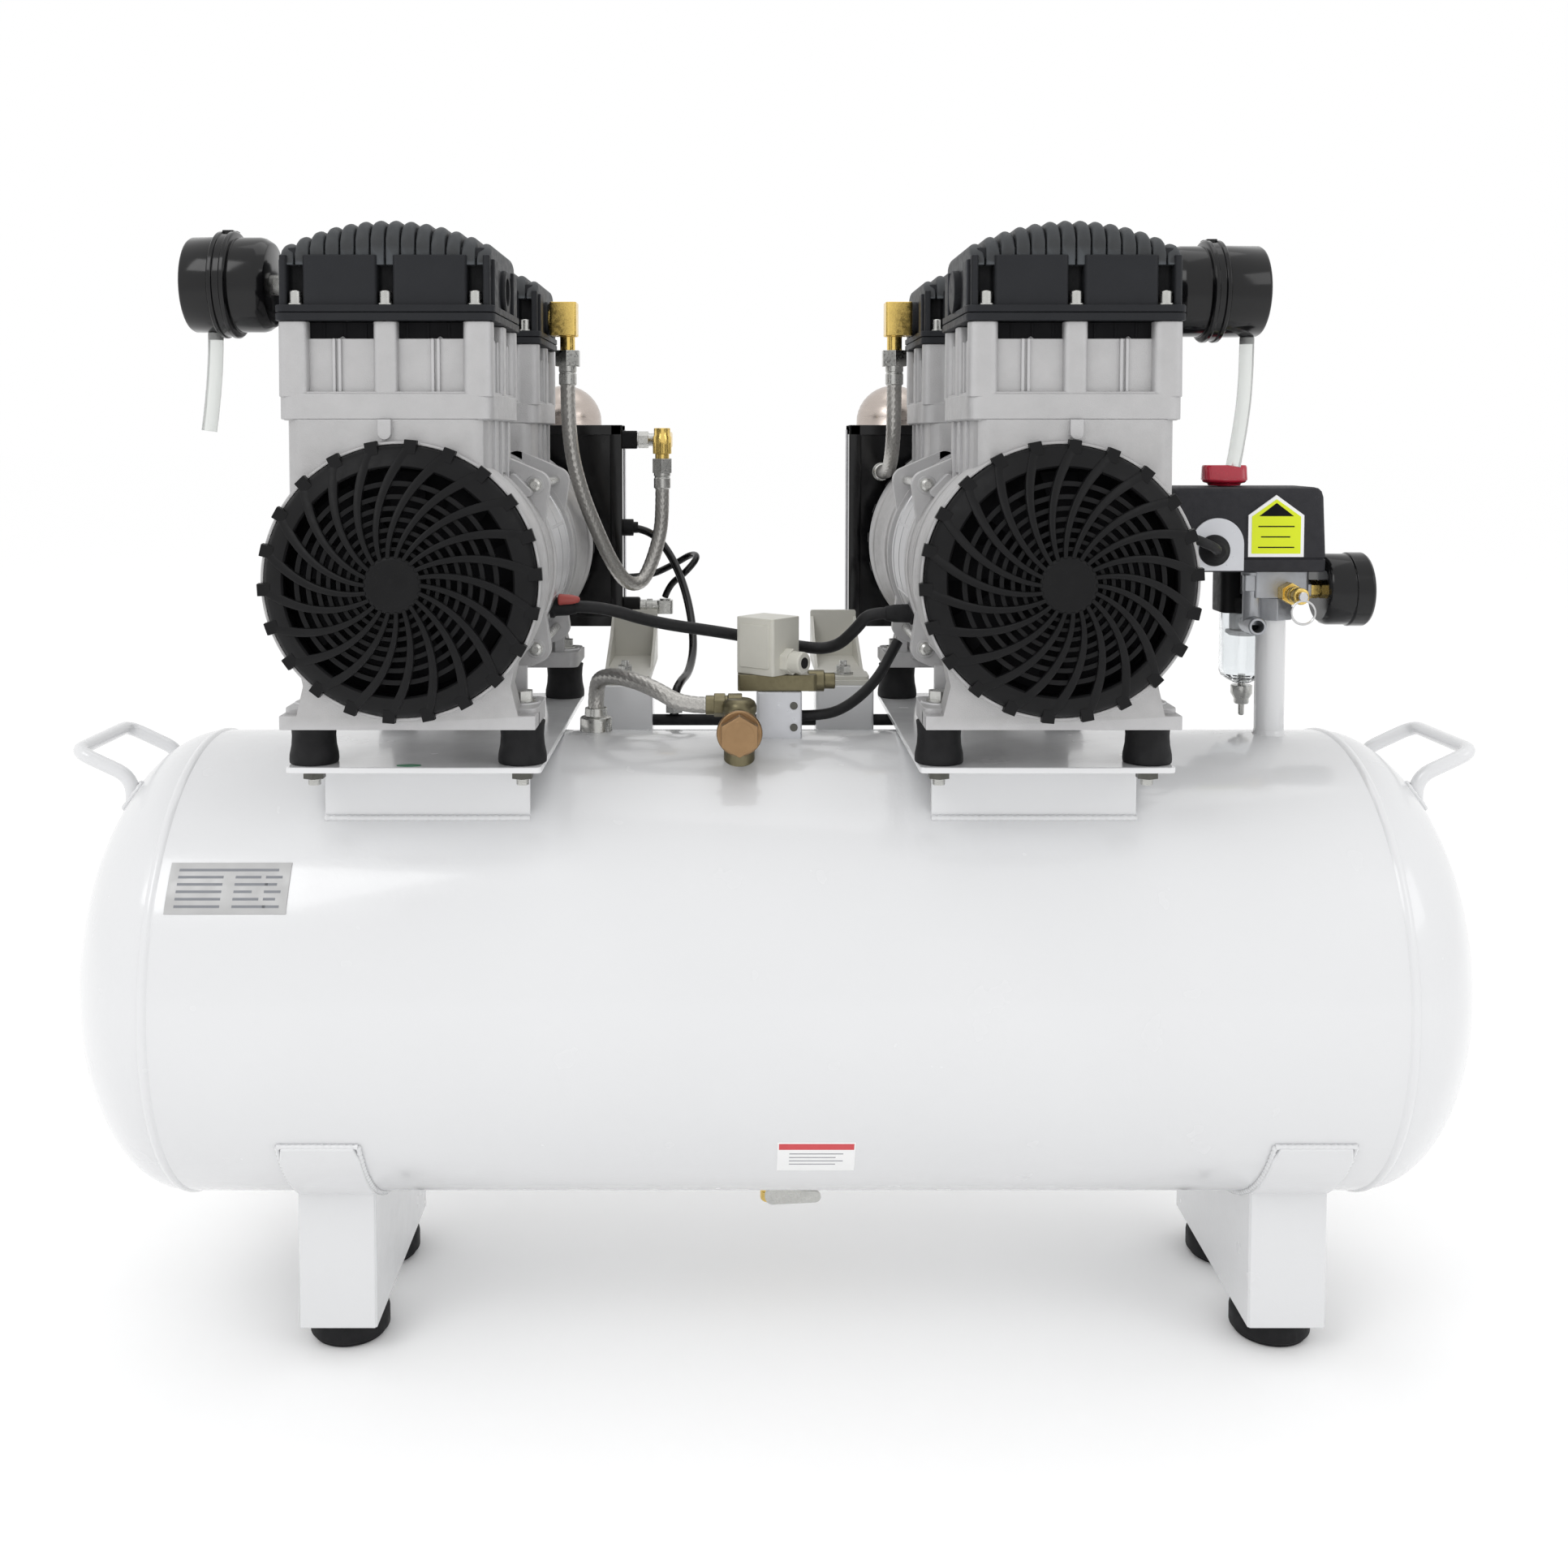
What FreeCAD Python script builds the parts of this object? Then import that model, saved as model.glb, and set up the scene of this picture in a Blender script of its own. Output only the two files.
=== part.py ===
"""Twin-pump oil-free air compressor on a horizontal tank.

Millimetres.  +X runs along the tank to the right, +Y goes from the fan grilles' side (front) to the
coolers' side (rear), +Z is up.  The origin is on the floor, midway along the machine and midway
between its front and rear ends.  Every y below is measured from the tank's axis line, which lies
tank_axis_y from the origin.
"""
import FreeCAD, Part
import math
import os
import re

import Sketcher
from FreeCAD import Placement, Rotation, Vector

# alias, value, what it is
SIZES = [
    ("tank_axis_y", -65.5, "tank axis, from the origin"),
    ("tank_axis_z", 258, "tank axis above the floor"),
    ("tank_radius", 165, "tank outside radius"),
    ("tank_wall", 3, "tank wall"),
    ("seam_x", 412, "head seam, each side of the middle"),
    ("head_depth", 83, "elliptical head beyond its seam"),
    ("leg_left_x", -305, "left leg middle"),
    ("leg_right_x", 357, "right leg middle"),
    ("leg_width", 54, "leg flange width"),
    ("leg_reach", 92, "leg flange outer face from the axis"),
    ("leg_sheet", 4, "leg plate thickness"),
    ("saddle_start", 31.5, "saddle's first angle from straight down, degrees"),
    ("saddle_end", 59, "saddle's last angle from straight down, degrees"),
    ("foot_high", 20, "rubber foot height"),
    ("foot_radius", 28, "rubber foot radius"),
    ("foot_y", 56, "rubber foot from the axis"),
    ("handle_x", 497, "handle crossbar"),
    ("handle_bar", 5, "handle bar radius"),
    ("handle_y", 50, "handle arm from the axis"),
    ("handle_z", 419, "handle crossbar height"),
    ("handle_root_x", 457, "handle arm's lower end"),
    ("handle_root_z", 400, "handle arm's lower end height"),
    ("deck_z", 424.5, "platform underside"),
    ("deck_sheet", 4, "platform plate thickness"),
    ("deck_long", 166, "platform along x"),
    ("deck_deep", 310, "platform along y"),
    ("rail_y", 104, "platform side wall from the axis"),
    ("rail_long", 139, "platform side wall length"),
    ("left_x", -236.5, "left pump middle"),
    ("right_x", 174.5, "right pump middle"),
    ("block_shift", 9.5, "neck, cylinders and heads, outward from the shaft"),
    ("mount_x", 68.5, "rubber mount from the pump middle"),
    ("mount_y", 136, "rubber mount from the axis"),
    ("mount_radius", 15, "rubber mount radius"),
    ("mount_z", 428.5, "rubber mount underside"),
    ("base_z", 456, "pump base underside"),
    ("base_wide", 163, "pump base width"),
    ("base_thick", 13, "pump base thickness"),
    ("shaft_z", 552, "pump shaft height"),
    ("case_radius", 88, "fan shroud outside radius"),
    ("barrel_radius", 82, "crankcase radius behind its fan shroud"),
    ("case_near", 60, "crankcase inner end from the axis"),
    ("case_far", 187, "crankcase outer rim from the axis"),
    ("neck_wide", 125, "crankcase neck width"),
    ("neck_top", 653, "crankcase neck top"),
    ("crank_y", 122, "crank plane from the axis"),
    ("ear_x", 70, "tie bolt from the shaft, across"),
    ("ear_z", 57, "tie bolt from the shaft, up and down"),
    ("ear_radius", 10, "tie bolt ear radius"),
    ("ear_thick", 12, "tie bolt ear thickness"),
    ("stator_radius", 82, "stator outside radius"),
    ("stator_bore", 46, "stator bore radius"),
    ("shaft_radius", 10, "shaft radius"),
    ("throw", 7, "crank throw"),
    ("journal_radius", 18, "crank journal radius"),
    ("big_end_radius", 39, "piston rod's big end radius"),
    ("big_end_bore", 32.5, "piston rod's big end bore radius"),
    ("bearing_radius", 17.5, "shaft bearing outside radius"),
    ("bolt_hole", 4.2, "mount bolt hole radius"),
    ("tie_hole", 3.2, "tie bolt hole radius"),
    ("fan_radius", 70, "cooling fan radius"),
    ("fan_near", 170, "cooling fan inner end from the axis"),
    ("fan_thick", 14, "cooling fan thickness"),
    ("block_wide", 134, "cylinder block width"),
    ("block_near", 61, "cylinder block inner end"),
    ("block_far", 183, "cylinder block outer end"),
    ("block_top", 714, "cylinder block top"),
    ("cylinder_bore", 33, "cylinder bore radius"),
    ("piston_radius", 32.7, "piston radius"),
    ("piston_z", 677, "piston underside at mid stroke"),
    ("piston_high", 13, "piston height"),
    ("lid_wide", 137, "cylinder head width"),
    ("lid_flange", 10, "cylinder head flange"),
    ("lid_shoulder", 761, "cylinder head shoulder height"),
    ("lid_top", 778, "cylinder head crown height"),
    ("grille_radius", 85, "grille outside radius"),
    ("grille_dome", 28, "grille dome depth"),
    ("grille_sheet", 3.2, "grille rib depth"),
    ("left_filter_y", -118, "left intake filter axis"),
    ("right_filter_y", -70, "right intake filter axis"),
    ("filter_z", 742, "intake filter axis height"),
    ("filter_radius", 31, "intake filter radius"),
    ("left_filter_long", 55, "left intake filter length"),
    ("right_filter_long", 64, "right intake filter length"),
    ("filter_near", 85, "intake filter inner end from the cylinder's middle"),
    ("port_y", 122, "outlet elbow from the axis"),
    ("port_x", 83, "outlet elbow from the cylinder's middle"),
    ("port_z", 737, "outlet elbow height"),
    ("hose_radius", 6, "braided hose radius"),
    ("hose_top", 684, "upper end of the outlet hoses"),
    ("cooler_y", 236, "cooler front face"),
    ("cooler_deep", 40, "cooler depth"),
    ("cooler_z", 475, "cooler underside"),
    ("cooler_wide", 178, "cooler width and height"),
    ("cooler_left_x", -127, "left cooler's inner side"),
    ("cooler_right_x", 73, "right cooler's inner side"),
    ("can_radius", 34, "dryer canister radius"),
    ("can_y", 312, "dryer canister axis"),
    ("can_bottom", 480, "dryer canister underside"),
    ("can_top", 690, "dryer canister crown"),
    ("pipe_x", 368, "standpipe"),
    ("pipe_radius", 10.75, "standpipe radius"),
    ("pipe_top", 508, "standpipe top"),
    ("switch_z", 545, "pressure switch underside"),
    ("knob_x", 332, "switch knob"),
    ("switch_x", 285, "pressure switch left side"),
    ("switch_wide", 113, "pressure switch width"),
    ("switch_deep", 60, "pressure switch depth"),
    ("switch_high", 61, "pressure switch height"),
    ("gauge_z", 531, "gauge axis height"),
    ("gauge_y", -10, "gauge axis"),
    ("gauge_x", 399, "gauge back face"),
    ("gauge_long", 33, "gauge length"),
    ("gauge_radius", 27, "gauge radius"),
    ("gauge_recess", 10, "gauge dial below its rim"),
    ("relief_x", 374, "safety valve axis"),
    ("relief_z", 529, "safety valve axis height"),
    ("bowl_x", 358, "water trap axis, across"),
    ("bowl_y", 34, "water trap axis"),
    ("bowl_radius", 17, "water trap bowl radius"),
    ("air_x", 350.4, "air outlet axis"),
    ("air_z", 505, "air outlet axis height"),
    ("air_bore", 4.2, "air outlet bore radius"),
    ("check_x", -25, "check valve axis"),
    ("check_z", 437, "check valve axis height"),
    ("coil_x", -3.5, "solenoid coil middle"),
    ("coil_turn", 40, "solenoid coil's turn towards the front right, degrees"),
    ("trap_line_z", 491, "cooler drain fitting height"),
    ("trap_line_y", 250, "cooler drain fitting from the axis"),
    ("drain_y", 0, "tank drain axis"),
]

doc = FreeCAD.newDocument("AirCompressor")
sheet = doc.addObject("Spreadsheet::Sheet", "dims")
for row, (alias, value, note) in enumerate(SIZES, start=1):
    sheet.set("A%d" % row, note)
    sheet.set("B%d" % row, str(value))
    sheet.setAlias("B%d" % row, alias)
doc.recompute()

ALIASES = {alias for alias, value, note in SIZES}
PUMPS = (("left", "left_x", 1), ("right", "right_x", -1))    # name, middle, side that faces the other pump
ENDS = (("front", -1), ("rear", 1))
BLOCK_MIDDLE = {"left_x": "left_x - block_shift", "right_x": "right_x + block_shift"}
TURNS = {
    "X": Rotation(Vector(0, 1, 0), 90),
    "Y": Rotation(Vector(1, 0, 0), -90),
    "Z": Rotation(),
}
sub_parts = []


def dim(alias):
    """A cell's value."""
    return float(getattr(sheet, alias))


def link(obj, prop, text):
    """Binds a property to an expression in the sheet's aliases."""
    bound = re.sub(r"[a-z_]+", lambda m: "dims." + m[0] if m[0] in ALIASES else m[0], str(text))
    obj.setExpression(prop, bound)


def place(obj, spot, turn=None):
    """Puts an object at x, y from the tank axis and z, each an expression."""
    if turn is not None:
        obj.Placement = Placement(Vector(), turn)
    link(obj, "Placement.Base.x", spot[0])
    link(obj, "Placement.Base.y", "tank_axis_y + (%s)" % spot[1])
    link(obj, "Placement.Base.z", spot[2])
    return obj


def box(size, corner):
    """A block from its low corner."""
    obj = doc.addObject("Part::Box", "box")
    for prop, text in zip(("Length", "Width", "Height"), size):
        link(obj, prop, text)
    return place(obj, corner)


def block(size, middle, low):
    """A block centred in x and y on middle, standing on low."""
    corner = ["(%s) - (%s) / 2" % (middle[i], size[i]) for i in (0, 1)]
    return box(size, corner + [low])


def bar(size, middle, spin, shift):
    """A block whose corner lies at shift from a numeric middle, the whole turned about it."""
    obj = doc.addObject("Part::Box", "bar")
    for prop, text in zip(("Length", "Width", "Height"), size):
        link(obj, prop, text)
    centre = Vector(middle[0], dim("tank_axis_y") + middle[1], middle[2])
    obj.Placement = Placement(centre + spin.multVec(Vector(*shift)), spin)
    return obj


def rod(radius, length, start, along="Z", sweep=360, turn=None):
    """A cylinder, or a sector of one, from start along an axis."""
    obj = doc.addObject("Part::Cylinder", "rod")
    link(obj, "Radius", radius)
    link(obj, "Height", length)
    link(obj, "Angle", sweep)
    return place(obj, start, turn or TURNS[along])


def ball(radius, spot):
    obj = doc.addObject("Part::Sphere", "ball")
    link(obj, "Radius", radius)
    return place(obj, spot)


def hexagon(across, length, start, along="Z"):
    """A hexagonal bar of a size across its flats."""
    obj = doc.addObject("Part::Prism", "hexagon")
    obj.Polygon = 6
    link(obj, "Circumradius", "(%s) / 2 / cos(30)" % across)
    link(obj, "Height", length)
    return place(obj, start, TURNS[along])


def ring(outer, inner, length, start, along="Z"):
    return cut(rod(outer, length, start, along), rod(inner, length, start, along))


def fuse(*solids):
    obj = doc.addObject("Part::MultiFuse", "fuse")
    obj.Shapes = list(solids)
    return obj


def cut(base, *tools):
    obj = doc.addObject("Part::Cut", "cut")
    obj.Base = base
    obj.Tool = tools[0] if len(tools) == 1 else fuse(*tools)
    return obj


def common(one, other):
    obj = doc.addObject("Part::Common", "common")
    obj.Base, obj.Tool = one, other
    return obj


def group(*solids):
    """Separate solids that share a sub-part."""
    obj = doc.addObject("Part::Compound", "group")
    obj.Links = list(solids)
    return obj


def sub_part(label, obj):
    obj.Label = label
    sub_parts.append(obj)
    return obj


def outlined(sketch, points):
    """Closes a polygon in a sketch and binds each corner's two coordinates."""
    last = len(points) - 1
    for i in range(len(points)):
        turn = [2 * math.pi * k / len(points) for k in (i, i + 1)]
        ends = [Vector(50 + 20 * math.cos(a), 50 + 20 * math.sin(a), 0) for a in turn]
        sketch.addGeometry(Part.LineSegment(*ends), False)
    for i in range(len(points)):
        sketch.addConstraint(Sketcher.Constraint("Coincident", i, 2, 0 if i == last else i + 1, 1))
    for i, corner in enumerate(points):
        for kind, text in zip(("DistanceX", "DistanceY"), corner):
            if str(text) == "0":
                axis = -2 if kind == "DistanceX" else -1
                sketch.addConstraint(Sketcher.Constraint("PointOnObject", i, 1, axis))
            else:
                index = sketch.addConstraint(Sketcher.Constraint(kind, i, 1, 50))
                link(sketch, "Constraints[%d]" % index, text)


def sketched(points):
    """A body with one polygon sketched on its XY plane."""
    body = doc.addObject("PartDesign::Body", "body")
    sketch = body.newObject("Sketcher::SketchObject", "outline")
    plane = [f for f in body.Origin.OriginFeatures if f.Role == "XY_Plane"][0]
    sketch.AttachmentSupport = [(plane, "")]
    sketch.MapMode = "FlatFace"
    outlined(sketch, points)
    return body, sketch


def turned(points, spot, along="Z"):
    """A body turned about an axis: each point is (distance along the axis, radius)."""
    body, sketch = sketched(points)
    spin = body.newObject("PartDesign::Revolution", "spin")
    spin.Profile = sketch
    spin.ReferenceAxis = (sketch, ["H_Axis"])
    spin.Angle = 360
    body.Tip = spin
    turn = {"X": Rotation(), "Y": Rotation(Vector(0, 0, 1), 90), "Z": Rotation(Vector(0, 1, 0), -90)}
    return place(body, spot, turn[along])


def low(side, near, far):
    """The smaller y of a span that runs from near to far on the front (-1) or rear (+1) side."""
    return "-(%s)" % far if side < 0 else "(%s)" % near


def tube_path(points):
    """Straight runs joined by tangent arcs, and the arcs' radii."""
    corners = [Vector(x, y + dim("tank_axis_y"), z) for x, y, z in points]
    edges, radii = [], []
    here = corners[0]
    for before, corner, after in zip(corners, corners[1:], corners[2:]):
        into, out = corner - before, after - corner
        reach = 0.45 * min(into.Length, out.Length)
        half_turn = into.getAngle(out) / 2
        radii.append(reach / math.tan(half_turn))
        into.normalize()
        out.normalize()
        start, end = corner - into * reach, corner + out * reach
        centre = corner + (out - into).normalize() * (radii[-1] / math.cos(half_turn))
        middle = centre + (corner - centre).normalize() * radii[-1]
        edges.append(Part.LineSegment(here, start).toShape())
        edges.append(Part.Arc(start, middle, end).toShape())
        here = end
    edges.append(Part.LineSegment(here, corners[-1]).toShape())
    return Part.Wire(edges), radii


def tube(name, points, radius):
    """A round solid along a path, compared with its section times its length."""
    path, radii = tube_path(points)
    tangent = path.Edges[0].tangentAt(path.Edges[0].FirstParameter)
    mouth = Part.Wire([Part.makeCircle(radius, path.Edges[0].Vertexes[0].Point, tangent)])
    obj = doc.addObject("Part::Feature", "tube")
    obj.Shape = path.makePipeShell([mouth], True, False)
    expected = math.pi * radius ** 2 * path.Length
    print("%s: length %.0f, diameter %.1f, radii %s, volume ratio %.4f" % (
        name, path.Length, 2 * radius, " ".join("%.0f" % r for r in radii), obj.Shape.Volume / expected))
    return obj


# ---- tank, legs and platforms -------------------------------------------------------------------

def ellipsoid_head(side, shrink):
    """Half an oblate ellipsoid that closes one end of the tank, shrunk by an amount all round."""
    egg = doc.addObject("Part::Ellipsoid", "egg")
    link(egg, "Radius1", "head_depth - (%s)" % shrink)
    link(egg, "Radius2", "tank_radius - (%s)" % shrink)
    link(egg, "Radius3", "tank_radius - (%s)" % shrink)
    egg.Angle1, egg.Angle2 = (0, 90)
    turn = Rotation(Vector(0, 1, 0), 90 * side)
    return place(egg, ("%d * seam_x" % side, 0, "tank_axis_z"), turn)


def on_tank(solid):
    """Trims a piece where it meets the tank's barrel."""
    return cut(solid, rod("tank_radius", "2 * seam_x", ("-seam_x", 0, "tank_axis_z"), "X"))


def on_head(solid, side):
    """Trims a piece where it meets one of the tank's heads."""
    return cut(solid, ellipsoid_head(side, "0"))


def tank():
    sub_part("tank_shell", ring("tank_radius", "tank_radius - tank_wall", "2 * seam_x",
                                ("-seam_x", 0, "tank_axis_z"), "X"))
    shells = [cut(ellipsoid_head(side, "0"), ellipsoid_head(side, "tank_wall")) for side in (-1, 1)]
    sub_part("tank_heads", group(*shells))


def bar_between(start, end, radius):
    """A straight round bar between two points given as numbers from the tank axis."""
    a, b = Vector(*start), Vector(*end)
    turn = Rotation(Vector(0, 0, 1), b - a)
    return rod(radius, (b - a).Length, start, turn=turn)


def handle(side):
    """A bent bar: a crossbar, two arms and two short roots welded on the tank's head."""
    thick = "handle_bar"
    pieces = []
    for end in (-1, 1):
        root = (side * dim("handle_root_x"), end * dim("handle_y"), dim("handle_root_z"))
        tip = (side * dim("handle_x"), end * dim("handle_y"), dim("handle_z"))
        pieces += [bar_between(root, tip, thick), ball(thick, root), ball(thick, tip)]
        pieces.append(rod(thick, 40, (root[0], root[1], root[2] - 40)))
    pieces.append(bar_between((tip[0], -tip[1], tip[2]), tip, thick))
    return on_head(fuse(*pieces), side)


def saddle(middle, end):
    """The curved upper part of a leg, hugging the tank."""
    low_x = "%s - leg_width / 2" % middle
    outer = rod("tank_radius + leg_sheet", "leg_width", (low_x, 0, "tank_axis_z"), "X",
                sweep="saddle_end - saddle_start")
    first = dim("saddle_start") if end > 0 else -dim("saddle_end")
    outer.Placement = Placement(Vector(), Rotation(Vector(1, 0, 0), first) * TURNS["X"])
    return on_tank(place(outer, (low_x, 0, "tank_axis_z")))


def leg(middle, inner):
    """A bent channel: front and rear flanges with a web on the inner edge, and two foot plates."""
    low_x = "%s - leg_width / 2" % middle
    web_x = "%s + leg_width / 2 - leg_sheet" % middle if inner > 0 else low_x
    web_size = ("leg_sheet", "2 * leg_reach", "tank_axis_z - foot_high - 30")
    pieces = [box(web_size, (web_x, "-leg_reach", "foot_high"))]
    for end in (-1, 1):
        flange_y = low(end, "leg_reach - leg_sheet", "leg_reach")
        pieces.append(box(("leg_width", "leg_sheet", "118 - foot_high"), (low_x, flange_y, "foot_high")))
        pieces.append(box(("leg_width", "2 * foot_radius", "leg_sheet"),
                          (low_x, "%s - foot_radius" % ("foot_y" if end > 0 else "-foot_y"), "foot_high")))
    return fuse(on_tank(fuse(*pieces)), saddle(middle, -1), saddle(middle, 1))


def tank_drain():
    """A quarter-turn drain cock under the tank's middle, its lever in front."""
    body = fuse(rod(9, 60, (0, "drain_y", "tank_axis_z - tank_radius - 24")),
                hexagon(17, 10, (0, "drain_y", "tank_axis_z - tank_radius - 16")),
                rod(5, 18, (0, "drain_y - 20", "tank_axis_z - tank_radius - 11"), "Y"))
    bore = rod(4, 20, (0, "drain_y", "tank_axis_z - tank_radius - 30"))
    sub_part("tank_drain_cock", cut(on_tank(body), bore))
    lever = fuse(rod(6, 4, (0, "drain_y - 24.3", "tank_axis_z - tank_radius - 11"), "Y"),
                 box((34, 2.5, 9), (0, "drain_y - 24.3", "tank_axis_z - tank_radius - 15.5")))
    sub_part("tank_drain_lever", lever)


def chassis():
    sub_part("handles", group(handle(-1), handle(1)))
    sub_part("leg_left", leg("leg_left_x", 1))
    sub_part("leg_right", leg("leg_right_x", -1))
    foot = [(0, 0), (0, "foot_radius - 4"), (4, "foot_radius"), ("foot_high - 3", "foot_radius"),
            ("foot_high", "foot_radius - 3"), ("foot_high", 0)]
    feet = [turned(foot, (x, "%d * foot_y" % end, 0))
            for x in ("leg_left_x", "leg_right_x") for end in (-1, 1)]
    sub_part("rubber_feet", group(*feet))
    for name, middle, inner in PUMPS:
        plate = block(("deck_long", "deck_deep", "deck_sheet"), (middle, 0), "deck_z")
        rails = [block(("rail_long", "deck_sheet", 60), (middle, "%d * rail_y" % end), "deck_z - 60")
                 for end in (-1, 1)]
        holes = [rod("bolt_hole", 20, ("%s + %d * mount_x" % (middle, a), "%d * mount_y" % b, "deck_z - 8"))
                 for a in (-1, 1) for b in (-1, 1)]
        sub_part("platform_" + name, on_tank(cut(fuse(plate, *rails), *holes)))
    mounts = [rubber_mount("%s + %d * mount_x" % (middle, a), "%d * mount_y" % b)
              for name, middle, inner in PUMPS for a in (-1, 1) for b in (-1, 1)]
    sub_part("rubber_mounts", group(*mounts))


def rubber_mount(x, y):
    """A waisted rubber block with a hole for its bolt."""
    rise = "base_z - mount_z"
    outline = [(0, "bolt_hole"), (0, "mount_radius + 1"), (4, "mount_radius + 1"), (9, "mount_radius - 1"),
               (rise, "mount_radius - 1"), (rise, "bolt_hole")]
    return turned(outline, (x, y, "mount_z"))


# ---- pumps --------------------------------------------------------------------------------------

def crankcase(middle, end):
    """A cast housing: fan chamber, crank chamber, neck, foot and four ears."""
    def drum(radius, near, far, x=middle, z="shaft_z"):
        return rod(radius, "%s - (%s)" % (far, near), (x, low(end, near, far), z), "Y")

    def slab(wide, near, far, bottom, top, x=middle):
        deep = "%s - (%s)" % (far, near)
        return box((wide, deep, "%s - (%s)" % (top, bottom)),
                   ("%s - (%s) / 2" % (x, wide), low(end, near, far), bottom))

    outside = [
        drum("barrel_radius", "case_near", "case_far - 30"),
        drum("case_radius", "case_far - 37", "case_far"),
        slab("neck_wide", "block_near", "block_far", "shaft_z", "neck_top", BLOCK_MIDDLE[middle]),
        slab("base_wide - 44", "mount_y - 36", "mount_y + 12", "base_z", "shaft_z - 20"),
        slab("base_wide - 22", "mount_y + 10", "mount_y + 36", "base_z", "shaft_z - 30"),
        slab("base_wide", "mount_y - 26", "mount_y + 26", "base_z", "base_z + base_thick"),
    ]
    inside = [
        drum("case_radius - 12", "case_far - 21", "case_far"),
        drum("barrel_radius - 20", "crank_y - 38", "crank_y + 38"),
        drum("barrel_radius - 10", "case_near", "case_near + ear_thick"),
        drum("bearing_radius", "case_near", "case_far"),
        slab(72, "crank_y - 38", "crank_y + 38", "shaft_z", "neck_top"),
    ]
    for a in (-1, 1):
        for b in (-1, 1):
            x, z = "%s + %d * ear_x" % (middle, a), "shaft_z + %d * ear_z" % b
            outside.append(drum("ear_radius", "case_near", "case_near + ear_thick", x, z))
            inside.append(drum("tie_hole", "case_near", "case_near + ear_thick", x, z))
            inside.append(drum(6, "case_near + ear_thick", "case_near + ear_thick + 20", x, z))
        bolt = ("%s + %d * mount_x" % (middle, a), "%d * mount_y" % end, "base_z - 5")
        inside.append(rod("bolt_hole", 30, bolt))
    return cut(fuse(*outside), *inside)


def stator(middle):
    """A laminated ring with its winding heads."""
    def drum(radius, reach):
        return rod(radius, "2 * (%s)" % reach, (middle, "-(%s)" % reach, "shaft_z"), "Y")
    core = drum("stator_radius", "case_near")
    windings = drum("stator_radius - 15", "case_near + 9")
    return cut(fuse(core, windings), drum("stator_bore", "case_near + 20"))


def rotor(middle):
    """The shaft with its rotor core, two opposed crank journals and two counterweights."""
    pieces = [
        rod("shaft_radius", 400, (middle, -200, "shaft_z"), "Y"),
        rod("stator_bore - 0.6", 90, (middle, -45, "shaft_z"), "Y"),
    ]
    for name, end in ENDS:
        lift = "shaft_z + %d * throw" % end
        pieces.append(rod("journal_radius", 16, (middle, low(end, "crank_y - 8", "crank_y + 8"), lift), "Y"))
        weight = rod(42, 10, (middle, low(end, "crank_y - 24", "crank_y - 14"), "shaft_z"), "Y")
        half_z = "shaft_z - 50" if end > 0 else "shaft_z"
        half = block((100, 20, 50), (middle, "%d * (crank_y - 19)" % end), half_z)
        pieces.append(common(weight, half))
    return fuse(*pieces)


def cooling_fan(middle, end):
    """A nine-bladed fan on the end of the shaft."""
    start = low(end, "fan_near", "fan_near + fan_thick")
    hub = ring(20, "shaft_radius", "fan_thick", (middle, start, "shaft_z"), "Y")
    blades = []
    centre = (dim(middle), end * (dim("fan_near") + dim("fan_thick") / 2), dim("shaft_z"))
    for i in range(9):
        spin = Rotation(Vector(0, 1, 0), 40 * i) * Rotation(Vector(0, 0, 1), 26 * end)
        blades.append(bar((26, 2.5, "fan_radius - 18"), centre, spin, (-13, -1.25, 18)))
    return cut(fuse(hub, *blades), rod("shaft_radius", 40, (middle, low(end, 160, 200), "shaft_z"), "Y"))


def grille(middle, end):
    """A domed cover: rim, hub, concentric hoops and radial ribs."""
    dome, rim, sheet_thick = "grille_dome", "case_far", "grille_sheet"
    face = [("%s" % rim, "grille_radius"), ("%s" % rim, "grille_radius - 11"),
            ("%s + %s - %s" % (rim, dome, sheet_thick), 17), ("%s + %s - %s" % (rim, dome, sheet_thick), 0),
            ("%s + %s" % (rim, dome), 0), ("%s + %s" % (rim, dome), 17),
            ("%s + 6" % rim, "grille_radius - 8"), ("%s + 6" % rim, "grille_radius")]
    spot = (middle, 0, "shaft_z")
    shell = turned([(("-(%s)" % a if end < 0 else a), b) for a, b in face], spot, "Y")
    start = low(end, "case_far - 5", "case_far + 35")
    bars = [ring("grille_radius + 5", "grille_radius - 11", 40, (middle, start, "shaft_z"), "Y"),
            rod(17, 40, (middle, start, "shaft_z"), "Y")]
    for radius in (32, 46, 60):
        bars.append(ring(radius + 1.5, radius - 1.5, 40, (middle, start, "shaft_z"), "Y"))
    near_y = dim("case_far") - 5 if end > 0 else -dim("case_far") - 35
    for i in range(11):
        spin = Rotation(Vector(0, 1, 0), 360.0 * i / 11)
        centre = (dim(middle), near_y, dim("shaft_z"))
        bars.append(bar((3.2, 40, "grille_radius"), centre, spin, (-1.6, 0, 0)))
    return common(shell, fuse(*bars))


def cylinder_block(middle, end):
    corner = ("%s - block_wide / 2" % BLOCK_MIDDLE[middle], low(end, "block_near", "block_far"), "neck_top")
    outer = box(("block_wide", "block_far - block_near", "block_top - neck_top"), corner)
    return cut(outer, rod("cylinder_bore", 80, (middle, "%d * crank_y" % end, "neck_top - 5")))


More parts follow.
